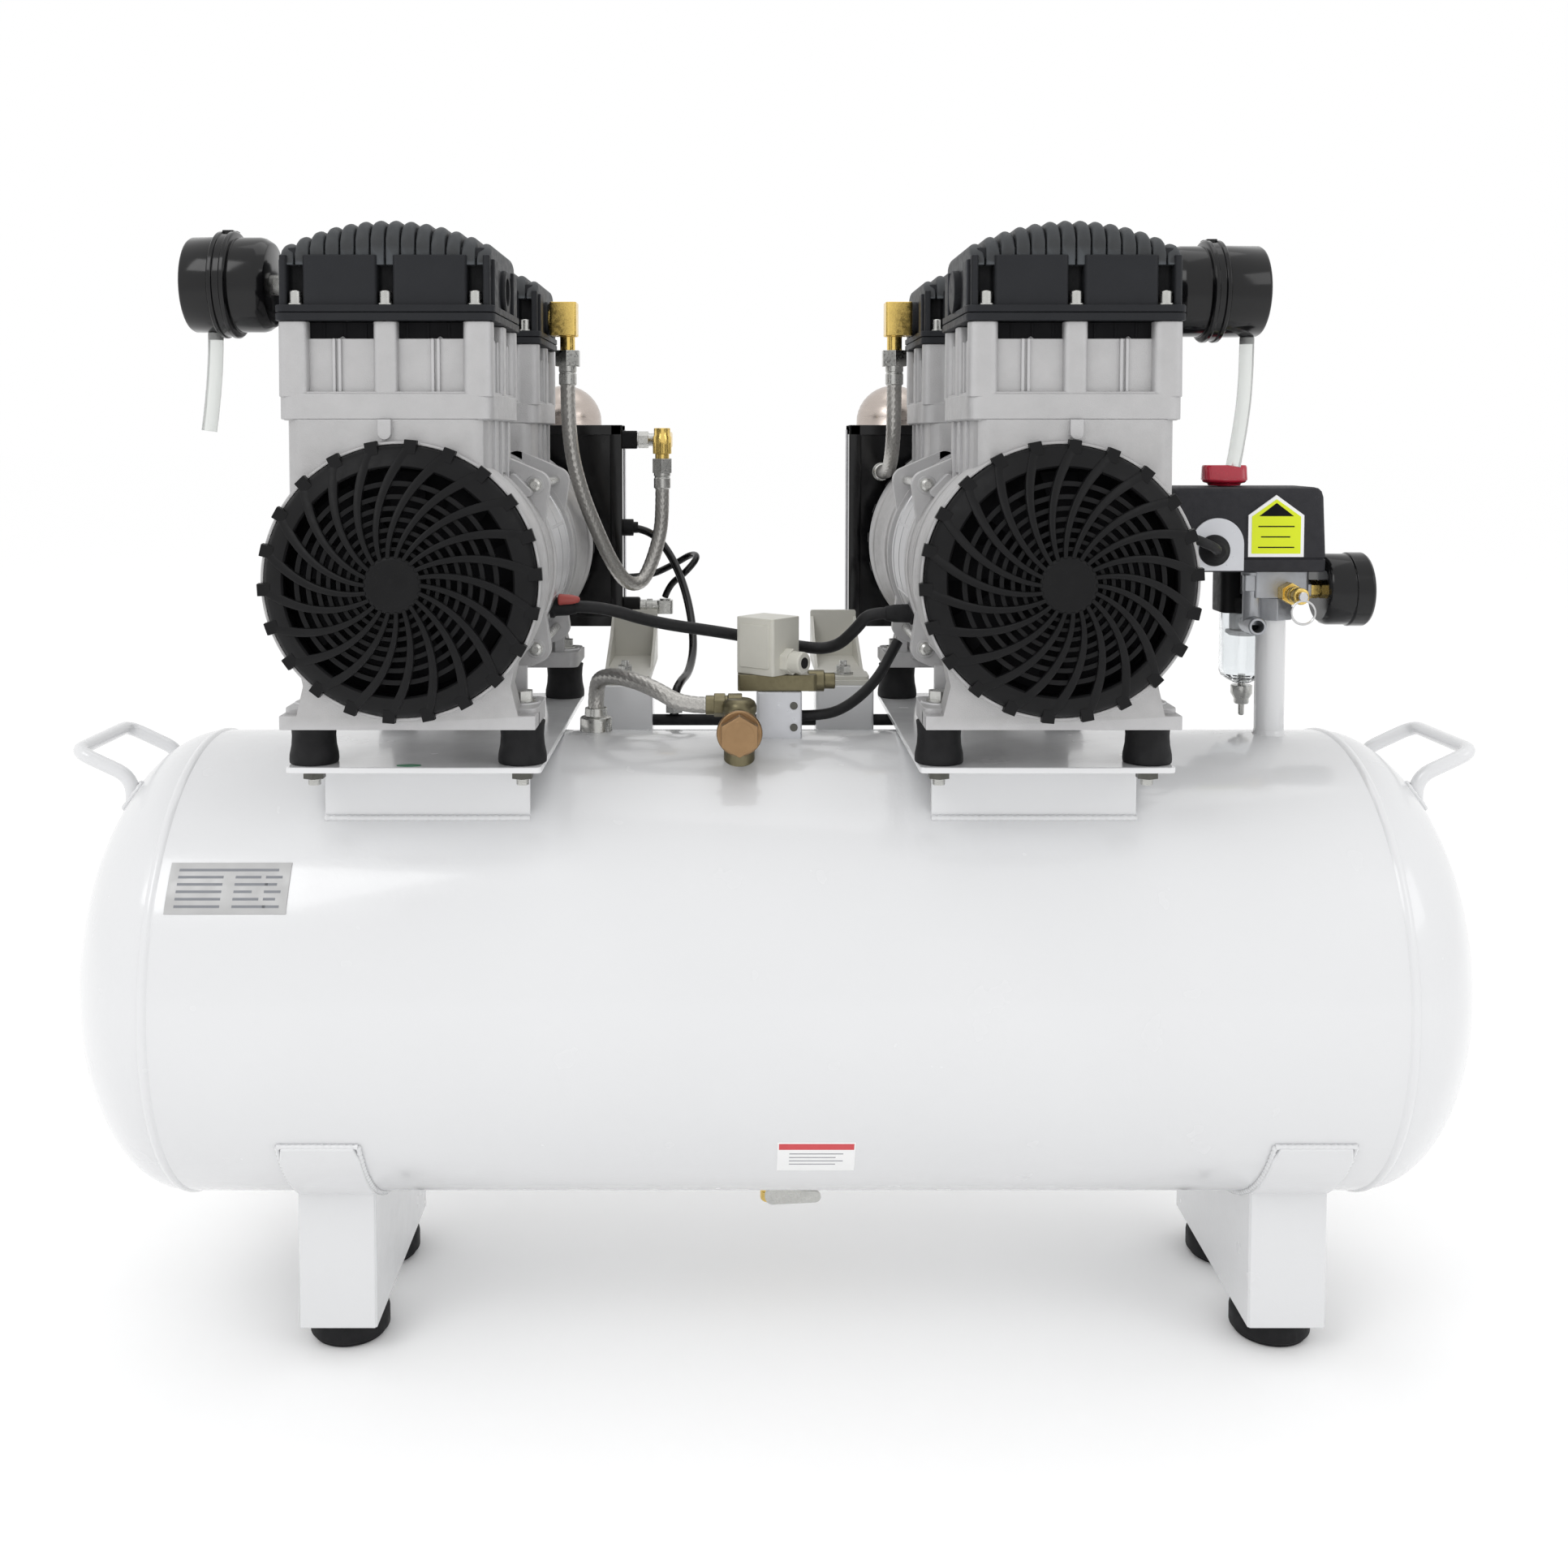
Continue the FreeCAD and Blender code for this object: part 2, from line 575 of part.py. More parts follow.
def cylinder_head(middle, end):
    """A flanged lid with an arched top and a valve pocket underneath."""
    near, far = "block_near - 1.5", "block_far + 1.5"
    across = BLOCK_MIDDLE[middle]
    flange = box(("lid_wide", "block_far - block_near + 3", "lid_flange"),
                 ("%s - lid_wide / 2" % across, low(end, near, far), "block_top"))
    tall = box(("lid_wide - 5", "block_far - block_near - 2", "lid_top - block_top"),
               ("%s - (lid_wide - 5) / 2" % across, low(end, "block_near + 1", "block_far - 1"), "block_top"))
    rise, half = dim("lid_top") - dim("lid_shoulder"), (dim("lid_wide") - 5) / 2
    crown = (half ** 2 + rise ** 2) / (2 * rise)
    arch = rod(crown, 150, (across, low(end, 50, 200), "lid_top - %.4f" % crown), "Y")
    pocket = rod("cylinder_bore", 18, (middle, "%d * crank_y" % end, "block_top"))
    return cut(fuse(flange, common(tall, arch)), pocket)


def piston(middle, end):
    """A piston in one piece with its rod, whose big end clears the crank journal all the way round."""
    y = "%d * crank_y" % end
    crown = rod("piston_radius", "piston_high", (middle, y, "piston_z"))
    shank = block((18, 12, "piston_z - shaft_z - 34"), (middle, y), "shaft_z + 34")
    big_end = ring("big_end_radius", "big_end_bore", 14, (middle, "%s - 7" % y, "shaft_z"), "Y")
    clearance = rod("big_end_bore", 30, (middle, "%s - 15" % y, "shaft_z"), "Y")
    return cut(fuse(crown, shank, big_end), clearance)


def intake_filter(name, middle, outer):
    """A round intake filter with a raised band and a nipple that meets the cylinder head."""
    near, far = "filter_near", "filter_near + %s_filter_long" % name
    outline = [("lid_wide / 2 - 2.5", 0), ("lid_wide / 2 - 2.5", 8), (near, 8), (near, "filter_radius - 3"),
               ("%s + 3" % near, "filter_radius"), ("%s + 24" % near, "filter_radius"),
               ("%s + 24" % near, "filter_radius + 4"), ("%s + 35" % near, "filter_radius + 4"),
               ("%s + 35" % near, "filter_radius"), ("%s - 3" % far, "filter_radius"),
               (far, "filter_radius - 3"), (far, 0)]
    outline = [("-(%s)" % a if outer < 0 else a, b) for a, b in outline]
    return turned(outline, (BLOCK_MIDDLE[middle], name + "_filter_y", "filter_z"), "X")


def pumps():
    for name, middle, inner in PUMPS:
        for where, end in ENDS:
            sub_part("%s_crankcase_%s" % (name, where), crankcase(middle, end))
            sub_part("%s_piston_%s" % (name, where), piston(middle, end))
        sub_part(name + "_stator", stator(middle))
        sub_part(name + "_rotor", rotor(middle))
        sub_part(name + "_cooling_fans", group(*[cooling_fan(middle, end) for where, end in ENDS]))
        sub_part(name + "_cylinders", group(*[cylinder_block(middle, end) for where, end in ENDS]))
        sub_part(name + "_cylinder_heads", group(*[cylinder_head(middle, end) for where, end in ENDS]))
        sub_part(name + "_grilles", group(*[grille(middle, end) for where, end in ENDS]))
        sub_part(name + "_intake_filter", intake_filter(name, middle, -inner))
    bearings = []
    for name, middle, inner in PUMPS:
        for where, end in ENDS:
            for near, thick in ((72, 12), (160, 6)):
                spot = (middle, low(end, near, near + thick), "shaft_z")
                bearings.append(ring("bearing_radius", "shaft_radius + 0.05", thick, spot, "Y"))
    sub_part("shaft_bearings", group(*bearings))


def fasteners():
    """Tie bolts through the crankcase ears and the bolts that hold the pumps on their mounts."""
    bolts = []
    for name, middle, inner in PUMPS:
        for a in (-1, 1):
            for b in (-1, 1):
                x, z = "%s + %d * ear_x" % (middle, a), "shaft_z + %d * ear_z" % b
                reach = "case_near + ear_thick"
                shank = rod(3, "2 * (%s)" % reach, (x, "-(%s)" % reach, z), "Y")
                heads = [rod(4.4, 4, (x, low(end, reach, reach + " + 4"), z), "Y") for where, end in ENDS]
                bolts.append(fuse(shank, *heads))
                x, y = "%s + %d * mount_x" % (middle, a), "%d * mount_y" % b
                stud = rod(4, "base_z + base_thick - deck_z + 16", (x, y, "deck_z - 10"))
                nut = hexagon(13, 6.5, (x, y, "deck_z - 6.5"))
                cap = hexagon(13, 6, (x, y, "base_z + base_thick"))
                bolts.append(fuse(stud, nut, cap))
    sub_part("bolts", group(*bolts))


# ---- outlet line, coolers and dryers -------------------------------------------------------------

OUTLET_ROUTES = {
    # from the elbow on the rear cylinder head to the cooler
    "left": [(-163, 122, 684), (-163, 122, 644), (-155, 134, 600), (-138, 152, 554), (-128, 163, 532),
             (-118, 174, 518), (-107, 184, 518), (-99, 191, 534), (-92, 196, 558), (-90, 196, 578),
             (-90, 196, 598)],
    "right": [(101, 122, 684), (101, 122, 656), (101, 134, 632), (101, 160, 616), (101, 192, 612),
              (101, 222, 612)],
}


def outlets():
    for name, middle, inner in PUMPS:
        hose = tube(name + "_outlet_hose", OUTLET_ROUTES[name], dim("hose_radius"))
        sub_part(name + "_outlet_hose", hose)
    elbows, nuts = [], []
    for name, middle, inner in PUMPS:
        across = BLOCK_MIDDLE[middle]
        x = "%s + %d * port_x" % (across, inner)
        side = "%s + lid_wide / 2 - 2.5" % across if inner > 0 else "%s - port_x" % across
        elbows.append(fuse(block((15, 22, 26), (x, "port_y"), "port_z - 13"),
                           box(("port_x - lid_wide / 2 + 2.5", 16, 16), (side, "port_y - 8", "port_z - 8")),
                           rod(6, 12, (x, "port_y", "port_z - 25"))))
        nuts.append(fuse(hexagon(19, 13, (x, "port_y", "port_z - 38")),
                         rod(7, "port_z - 38 - hose_top", (x, "port_y", "hose_top"))))
    tip = OUTLET_ROUTES["left"][-1]
    nuts.append(fuse(rod(7, 14, tip), hexagon(16, 12, (tip[0], tip[1], tip[2] + 14))))
    top = tip[2] + 26
    inlet = ("cooler_left_x", "cooler_y + 6", top + 16)
    elbows.append(fuse(rod(8, 26, (tip[0], tip[1], top)),
                       box((14, "cooler_y + 13 - %d" % tip[1], 14), (tip[0] - 7, tip[1], top + 9)),
                       rod(6.5, "%d - cooler_left_x" % tip[0], inlet, "X")))
    tip = OUTLET_ROUTES["right"][-1]
    nuts.append(rod(8, "cooler_y - 222", (tip[0], tip[1], tip[2]), "Y"))
    drain = ("cooler_left_x", "trap_line_y", "trap_line_z")
    nuts.append(fuse(rod(9, 15, drain, "X"), rod(6.5, 34, drain, "X"),
                     box((14, 12, 12), ("cooler_left_x + 30", "trap_line_y - 6", "trap_line_z - 6")),
                     rod(5, 7.5, ("cooler_left_x + 37", "trap_line_y", "trap_line_z"))))
    sub_part("outlet_fittings", group(*(elbows + nuts)))


def cooler(inner_x, side):
    """A boxed aftercooler; its inner side faces the middle of the machine."""
    low_x = "%s - cooler_wide" % inner_x if side > 0 else inner_x
    return box(("cooler_wide", "cooler_deep", "cooler_wide"), (low_x, "cooler_y", "cooler_z"))


def canister(x):
    body = rod("can_radius", "can_top - can_bottom - 26", (x, "can_y", "can_bottom"))
    outline = [(0, 0), (0, "can_radius"), (12, "can_radius - 2"), (20, "can_radius - 9"),
               (26, "can_radius - 22"), (26, 0)]
    return fuse(body, turned(outline, (x, "can_y", "can_top - 26")))


def cooler_bracket(x):
    """A bent bracket: a block on the tank, a shelf and an upright behind it that carries the cooler."""
    foot = block((46, 34, 80), (x, 96), 366)
    shelf = box((40, "cooler_y - 82", 4), ("%s - 20" % x, 82, 446))
    upright = box((40, 4, 44), ("%s - 20" % x, "cooler_y - 4", 446))
    return on_tank(fuse(foot, shelf, upright))


def deck_bracket(x):
    """A bent bracket from a platform's rear edge to the cooler's far side."""
    shelf = box((40, "cooler_y - 125", 4), ("%s - 20" % x, 125, "mount_z"))
    upright = box((40, 4, "cooler_z + 15 - mount_z"), ("%s - 20" % x, "cooler_y - 4", "mount_z"))
    return fuse(shelf, upright)


def rear_units():
    sides = (("cooler_left_x", 1), ("cooler_right_x", -1))
    cans_x = ("cooler_left_x - 58", "cooler_right_x + 46")
    sub_part("aftercoolers", group(*[cooler(x, side) for x, side in sides]))
    sub_part("dryer_canisters", group(*[canister(x) for x in cans_x]))
    stands = [cooler_bracket(x) for x in (-116, 59)] + [deck_bracket(x) for x in (-255, 193)]
    reach = "can_y - can_radius - cooler_y - cooler_deep + 1.5"
    holders = [box((60, reach, 12), (x + " - 30", "cooler_y + cooler_deep", z))
               for x in cans_x for z in (505, 625)]
    cans = fuse(*[rod("can_radius", "can_top - can_bottom", (x, "can_y", "can_bottom")) for x in cans_x])
    sub_part("cooler_brackets", group(*(stands + [cut(h, cans) for h in holders])))


# ---- valves and lines between the pumps ----------------------------------------------------------

def centre_valves():
    check = fuse(rod(11, 60, ("check_x", -52, "check_z - 40")),
                 rod(13, 46, ("check_x", -80, "check_z"), "Y"),
                 hexagon(25, 14, ("check_x", -94, "check_z"), "Y"),
                 rod(7, 26, ("check_x - 24", -44, "check_z + 14"), "X"))
    sub_part("check_valve", on_tank(check))
    body = box((58, 26, 12), (-26, -13, 456))
    spin = Rotation(Vector(0, 0, 1), -dim("coil_turn"))
    coil = bar((35, 32, 42), (dim("coil_x"), 0, 468), spin, (-17.5, -16, 0))
    mouth = spin.multVec(Vector(17, 0, 0))
    gland = rod(8, 17, (dim("coil_x") + mouth.x, mouth.y, 478), turn=spin * TURNS["X"])
    sub_part("solenoid_valve", fuse(body, coil, gland))
    manifold = box((33, 34, 76), (-12, -17, 380))
    sub_part("manifold_block", on_tank(manifold))
    bung = rod(12, 60, (-132, 12, 380))
    glands = [wire_gland("left_x", 1, 0, 517), wire_gland("right_x", -1, 0, 512),
              wire_gland("right_x", 1, -36, 574)]
    sub_part("tank_fittings", group(on_tank(bung), *glands))


def wire_gland(middle, side, y, z):
    """A cable gland on the side of a stator."""
    start = "%s + 60" % middle if side > 0 else "%s - 91.5" % middle
    return cut(rod(7, 31.5, (start, y, z), "X"), rod("stator_radius", 160, (middle, -80, "shaft_z"), "Y"))


TANK_HOSE = [(-49, -44, 451), (-66, -44, 451), (-86, -37, 462), (-108, -23, 468), (-126, -4, 466),
             (-132, 12, 456), (-132, 12, 440)]
UNLOADER = [(-127, 250, 562), (-104, 250, 562), (-82, 236, 536), (-68, 208, 502), (-62, 170, 468),
            (-65, 130, 450), (-72, 98, 446), (-76, 85, 438), (-76, 85, 422.5)]
COOLER_DRAIN = [(-90, 250, 500), (-86, 247, 511), (-72, 238, 522), (-60, 244, 536), (-66, 262, 538),
                (-82, 266, 528), (-106, 258, 517), (-127, 258, 517)]
MANIFOLD_LINE = [(21, 0, 436), (38, 0, 436), (54, 4, 441), (70, 12, 452), (82, 22, 464), (90, 30, 477),
                 (96, 34, 487)]
MOTOR_LOOM = [(-145, 0, 517), (-126, 0, 517), (-88, 16, 503), (-34, 30, 494), (16, 30, 484), (46, 22, 482),
              (63, 8, 500), (70, 0, 512), (83, 0, 512)]
SWITCH_CABLE = [(316, -30, 561), (316, -44, 561), (307, -56, 566), (292, -52, 572), (281, -36, 574),
                (266, -36, 574)]
LEFT_VENT = [(-371, -118, 710.6), (-371, -118, 682), (-376, -119, 646)]
RIGHT_VENT = [(325, -70, 710.6), (325, -70, 690), (323, -70, 656), (317, -70, 622)]


def lines():
    """Braided tank hose, small air lines, wiring and the filters' vent tubes."""
    sub_part("tank_hose", tube("tank_hose", TANK_HOSE, dim("hose_radius")))
    sub_part("air_lines", group(tube("unloader_line", UNLOADER, 3.5),
                                tube("cooler_drain_line", COOLER_DRAIN, 3),
                                tube("manifold_line", MANIFOLD_LINE, 4),
                                rod(4.5, 129, (-93, 85, 418), "X"), rod(4.5, 46, (82, 85, 418), "X")))
    sub_part("wiring", group(tube("motor_loom", MOTOR_LOOM, 4.5), tube("switch_cable", SWITCH_CABLE, 3.5)))
    sub_part("vent_tubes", group(tube("left_vent", LEFT_VENT, 5), tube("right_vent", RIGHT_VENT, 5)))


# ---- controls ------------------------------------------------------------------------------------

def controls():
    sub_part("standpipe", on_tank(rod("pipe_radius", "pipe_top - 380", ("pipe_x", 0, 380))))
    manifold = fuse(hexagon(26, 17, ("pipe_x", 0, "pipe_top")),
                    box((40, 36, 20), ("pipe_x - 18", -18, "switch_z - 20")),
                    rod(6.5, 40, ("air_x", -10, "air_z"), "Z"),
                    rod(6.7, 24, ("air_x", -26, "air_z"), "Y"))
    sub_part("switch_manifold", cut(manifold, rod("air_bore", 14, ("air_x", -26, "air_z"), "Y")))
    case = box(("switch_wide", "switch_deep", "switch_high"), ("switch_x", "-switch_deep / 2", "switch_z"))
    sub_part("pressure_switch", cut(case, rod(5.5, 30, ("knob_x", 0, "switch_z + switch_high - 20"))))
    knob = fuse(rod(16, 15, ("knob_x", 0, "switch_z + switch_high + 0.6")),
                rod(5, 19, ("knob_x", 0, "switch_z + switch_high - 18")))
    sub_part("switch_knob", knob)
    floor_x = "gauge_x + gauge_long - gauge_recess"
    dial = cut(rod("gauge_radius", "gauge_long", ("gauge_x", "gauge_y", "gauge_z"), "X"),
               rod("gauge_radius - 3", "gauge_recess", (floor_x, "gauge_y", "gauge_z"), "X"))
    neck = rod(6, "gauge_x - pipe_x - 21", ("pipe_x + 22", "gauge_y", "gauge_z"), "X")
    sub_part("pressure_gauge", fuse(dial, neck))
    pointer_x = dim("gauge_x") + dim("gauge_long") - dim("gauge_recess") + 2.3
    pointer = bar((1, 1.6, 18), (pointer_x, dim("gauge_y"), dim("gauge_z")),
                  Rotation(Vector(1, 0, 0), 135), (0, -0.8, 0))
    pivot = rod(2.5, 3, (floor_x + " + 0.3", "gauge_y", "gauge_z"), "X")
    sub_part("gauge_needle", fuse(pointer, pivot))
    sub_part("safety_valve", fuse(hexagon(14, 10, ("relief_x", -28, "relief_z"), "Y"),
                                  rod(6, 22, ("relief_x", -48, "relief_z"), "Y")))
    sub_part("water_trap_body", block((36, 30, "switch_z - 510.3"), ("bowl_x - 2", "bowl_y"), 510))
    bowl = turned([(0, 3.2), (0, 8), (5, "bowl_radius - 2"), (9, "bowl_radius"), (54, "bowl_radius"),
                   (54, "bowl_radius - 2"), (10, "bowl_radius - 2"), (6, 7), (6, 3.2)],
                  ("bowl_x", "bowl_y", 456))
    sub_part("water_trap_bowl", bowl)
    drain = turned([(0, 0), (0, 2), (9, 2.5), (9, 5.5), (17, 8), (23, 8), (23, 2.9), (31, 2.9), (31, 0)],
                   ("bowl_x", "bowl_y", 430.5))
    sub_part("water_trap_drain", drain)
    hoop = ring(9, 7.6, 1.5, ("relief_x", -52.2, "relief_z - 11"), "Y")
    sub_part("safety_ring", fuse(hoop, rod(2.2, 3.8, ("relief_x", -52.2, "relief_z"), "Y"),
                                 box((2, 1.5, 6), ("relief_x - 1", -52.2, "relief_z - 5"))))


for build in (tank, tank_drain, chassis, pumps, fasteners, outlets, rear_units, centre_valves, lines,
              controls):
    build()

doc.recompute()
os.makedirs("parts", exist_ok=True)
for obj in doc.Objects:
    bad = [word for word in obj.State if word in ("Invalid", "Error")]
    if bad:
        raise RuntimeError("%s (%s) is %s" % (obj.Name, obj.Label, bad))
for obj in sub_parts:
    if obj.Shape.isNull() or not obj.Shape.isValid() or not obj.Shape.Solids:
        raise RuntimeError("%s has no valid solid" % obj.Label)
for obj in sub_parts:
    obj.Shape.exportStep("parts/%s.step" % obj.Label)
print("%d sub-parts" % len(sub_parts))
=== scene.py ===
import math
import random

import bmesh
import bpy
from mathutils import Matrix, Vector


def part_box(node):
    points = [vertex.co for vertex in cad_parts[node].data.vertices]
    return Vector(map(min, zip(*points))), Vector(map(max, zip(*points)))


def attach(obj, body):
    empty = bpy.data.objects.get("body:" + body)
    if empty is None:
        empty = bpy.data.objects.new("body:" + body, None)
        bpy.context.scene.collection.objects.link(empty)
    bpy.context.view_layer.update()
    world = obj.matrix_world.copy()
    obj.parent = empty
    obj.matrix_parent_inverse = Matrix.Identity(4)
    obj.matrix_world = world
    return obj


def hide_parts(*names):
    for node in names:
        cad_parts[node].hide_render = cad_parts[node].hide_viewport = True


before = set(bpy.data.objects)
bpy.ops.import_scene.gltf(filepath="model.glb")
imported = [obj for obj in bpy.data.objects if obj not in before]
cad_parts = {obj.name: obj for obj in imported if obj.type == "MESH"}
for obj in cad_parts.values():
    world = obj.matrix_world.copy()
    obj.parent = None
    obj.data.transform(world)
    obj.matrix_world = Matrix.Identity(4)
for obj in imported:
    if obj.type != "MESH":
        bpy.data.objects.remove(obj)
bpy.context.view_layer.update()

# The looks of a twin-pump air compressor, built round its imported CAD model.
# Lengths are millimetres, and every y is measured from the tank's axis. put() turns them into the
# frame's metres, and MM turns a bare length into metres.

MM = 0.001
TANK_Y = sum(corner.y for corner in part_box("tank_shell")) / 2 / MM
random.seed(7)


def span(node):
    """A CAD node's low corner, high corner and middle."""
    shift = Vector((0, TANK_Y, 0))
    low, high = [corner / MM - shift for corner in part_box(node)]
    return low, high, (low + high) / 2


def put(point):
    """Millimetres from the tank's axis to the frame's metres."""
    return (Vector(point) + Vector((0, TANK_Y, 0))) * MM


# ---- camera -------------------------------------------------------------------------------------

def add_camera():
    """Stands in front, a little left of the middle, at the height of the pumps."""
    camera = bpy.data.objects.new("camera", bpy.data.cameras.new("camera"))
    bpy.context.scene.collection.objects.link(camera)
    camera.data.sensor_width = 36
    camera.data.lens = 37.27
    camera.data.shift_x = 0.033
    camera.data.shift_y = -0.166
    camera.location = put((-30, -1195, 641))
    camera.rotation_euler = (math.radians(87), 0, 0)
    bpy.context.scene.camera = camera


add_camera()


# ---- mesh building ------------------------------------------------------------------------------

def swing(along, u, v, w):
    """A section's u, v and its distance w along an axis, as x, y, z."""
    return {"X": (w, u, v), "Y": (u, w, v), "Z": (u, v, w)}[along]


def circle(radius, sides=32, start=0.0, centre=(0, 0)):
    """A polygon's corners round a circle, the first at an angle in radians."""
    turns = [start + 2 * math.pi * i / sides for i in range(sides)]
    return [(centre[0] + radius * math.cos(a), centre[1] + radius * math.sin(a)) for a in turns]


def hexagon(across):
    """A nut's outline, from its width across the flats."""
    return circle(across / 2 / math.cos(math.pi / 6), 6, math.pi / 6)


def bend(before, here, after, radius, steps):
    """The points that round off a corner, which takes less than half of either side."""
    into, out = before - here, after - here
    cut = min(radius, 0.49 * into.length, 0.49 * out.length)
    start, end = here + into.normalized() * cut, here + out.normalized() * cut
    parts = [k / steps for k in range(steps + 1)]
    return [start * (1 - t) ** 2 + here * 2 * t * (1 - t) + end * t ** 2 for t in parts]


def rounded(corners, radius, steps=5):
    """A polygon with its corners rounded."""
    points = [Vector(corner) for corner in corners]
    outline = []
    for before, here, after in zip(points[-1:] + points, points, points[1:] + points[:1]):
        outline += [tuple(point) for point in bend(before, here, after, radius, steps)]
    return outline


def rectangle(wide, high, radius=0.0, centre=(0, 0)):
    """A rectangle round a centre, its corners rounded if there is a radius."""
    a, b = wide / 2, high / 2
    corners = [(centre[0] + x, centre[1] + y) for x, y in ((-a, -b), (a, -b), (a, b), (-a, b))]
    return rounded(corners, radius) if radius else corners


def hull(points):
    """The convex outline round some points."""
    points = sorted(set((round(x, 4), round(y, 4)) for x, y in points))

    def half(run):
        side = []
        for p in run:
            while len(side) > 1:
                a, b = side[-2], side[-1]
                if (b[0] - a[0]) * (p[1] - a[1]) - (b[1] - a[1]) * (p[0] - a[0]) > 0:
                    break
                side.pop()
            side.append(p)
        return side[:-1]
    return half(points) + half(points[::-1])


def bent(corners, radius, steps=6):
    """An open line through corners, with its bends rounded."""
    points = [Vector(p) for p in corners]
    line = [points[0]]
    for before, here, after in zip(points, points[1:], points[2:]):
        line += bend(before, here, after, radius, steps)
    return line + [points[-1]]


def frames(line):
    """Two steady normals at each point of a line."""
    tangents = []
    for i in range(len(line)):
        ahead, behind = line[min(i + 1, len(line) - 1)], line[max(i - 1, 0)]
        tangents.append((ahead - behind).normalized())
    side = tangents[0].orthogonal().normalized()
    found = []
    for tangent in tangents:
        side = (side - tangent * side.dot(tangent)).normalized()
        found.append((side, tangent.cross(side)))
    return found


class Shape:
    """Closed solids gathered in one mesh, each measured from a spot and mirrored by flip."""

    def __init__(self, spot=(0, 0, 0), flip=(1, 1, 1)):
        self.bm = bmesh.new()
        self.spot = Vector(spot)
        self.flip = flip
        self.finish = 0

    def skin(self, rings, closed=False):
        """Joins rings of points in turn, and caps the ends or joins the last to the first."""
        rows = []
        for ring in rings:
            places = [self.spot + Vector([a * b for a, b in zip(point, self.flip)]) for point in ring]
            rows.append([self.bm.verts.new(put(place)) for place in places])
        faces = []
        for near, far in zip(rows, rows[1:] + rows[:1] if closed else rows[1:]):
            for i in range(len(near)):
                j = (i + 1) % len(near)
                faces.append(self.bm.faces.new((near[i], near[j], far[j], far[i])))
        if not closed:
            faces += [self.bm.faces.new(rows[0]), self.bm.faces.new(rows[-1])]
        for face in faces:
            face.material_index = self.finish
            face.smooth = True

    def prism(self, outline, near, far, along="Z", at=(0, 0, 0)):
        """An outline pushed from near to far along an axis."""
        at = Vector(at)
        self.skin([[at + Vector(swing(along, u, v, w)) for u, v in outline] for w in (near, far)])

    def block(self, low, high, radius=0.0, along="Z"):
        """A block between two corners, its edges along one axis rounded."""
        pick = {"X": (1, 2, 0), "Y": (0, 2, 1), "Z": (0, 1, 2)}[along]
        (u0, v0, w0), (u1, v1, w1) = [[corner[i] for i in pick] for corner in (low, high)]
        outline = rectangle(abs(u1 - u0), abs(v1 - v0), radius, ((u0 + u1) / 2, (v0 + v1) / 2))
        self.prism(outline, w0, w1, along)

    def rod(self, radius, near, far, along="Z", at=(0, 0, 0), sides=32):
        """A round bar from near to far along an axis."""
        self.prism(circle(radius, sides), near, far, along, at)

    def lathe(self, profile, along="Z", at=(0, 0, 0), sides=48, closed=False):
        """Points of (distance along the axis, radius) turned about it."""
        at = Vector(at)
        rings = []
        for w, radius in profile:
            rings.append([at + Vector(swing(along, u, v, w)) for u, v in circle(max(radius, 0.02), sides)])
        self.skin(rings, closed)

    def sweep(self, line, radius, sides=16):
        """A round bar along a line; radius is a number or one for each point."""
        radii = radius if isinstance(radius, list) else [radius] * len(line)
        rings = []
        for point, (side, up), r in zip(line, frames(line), radii):
            rings.append([point + side * u + up * v for u, v in circle(r, sides)])
        self.skin(rings)


def piece(name, shape, finishes, stands_for=(), body="frame", ease=0.5, sharp=32):
    """Makes the object, rounds its sharp edges and ties it to the CAD model."""
    bmesh.ops.recalc_face_normals(shape.bm, faces=shape.bm.faces)
    mesh = bpy.data.meshes.new(name)
    shape.bm.to_mesh(mesh)
    shape.bm.free()
    for finish in [finishes] if isinstance(finishes, str) else finishes:
        mesh.materials.append(FINISHES[finish])
    obj = bpy.data.objects.new(name, mesh)
    bpy.context.scene.collection.objects.link(obj)
    if ease:
        bevel = obj.modifiers.new("eased edges", "BEVEL")
        bevel.width = ease * MM
        bevel.segments = 2
        bevel.limit_method = "ANGLE"
        bevel.angle_limit = math.radians(sharp)
        bevel.harden_normals = True
    else:
        mesh.set_sharp_from_angle(angle=math.radians(sharp))
    return tie(obj, stands_for, body)


def tie(obj, stands_for, body="frame"):
    """Rides a piece on its body, and hides the CAD nodes that it stands for."""
    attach(obj, body)
    nodes = [stands_for] if isinstance(stands_for, str) else stands_for
    if nodes:
        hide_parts(*nodes)
    return obj


# ---- finishes -----------------------------------------------------------------------------------

FINISHES = {}


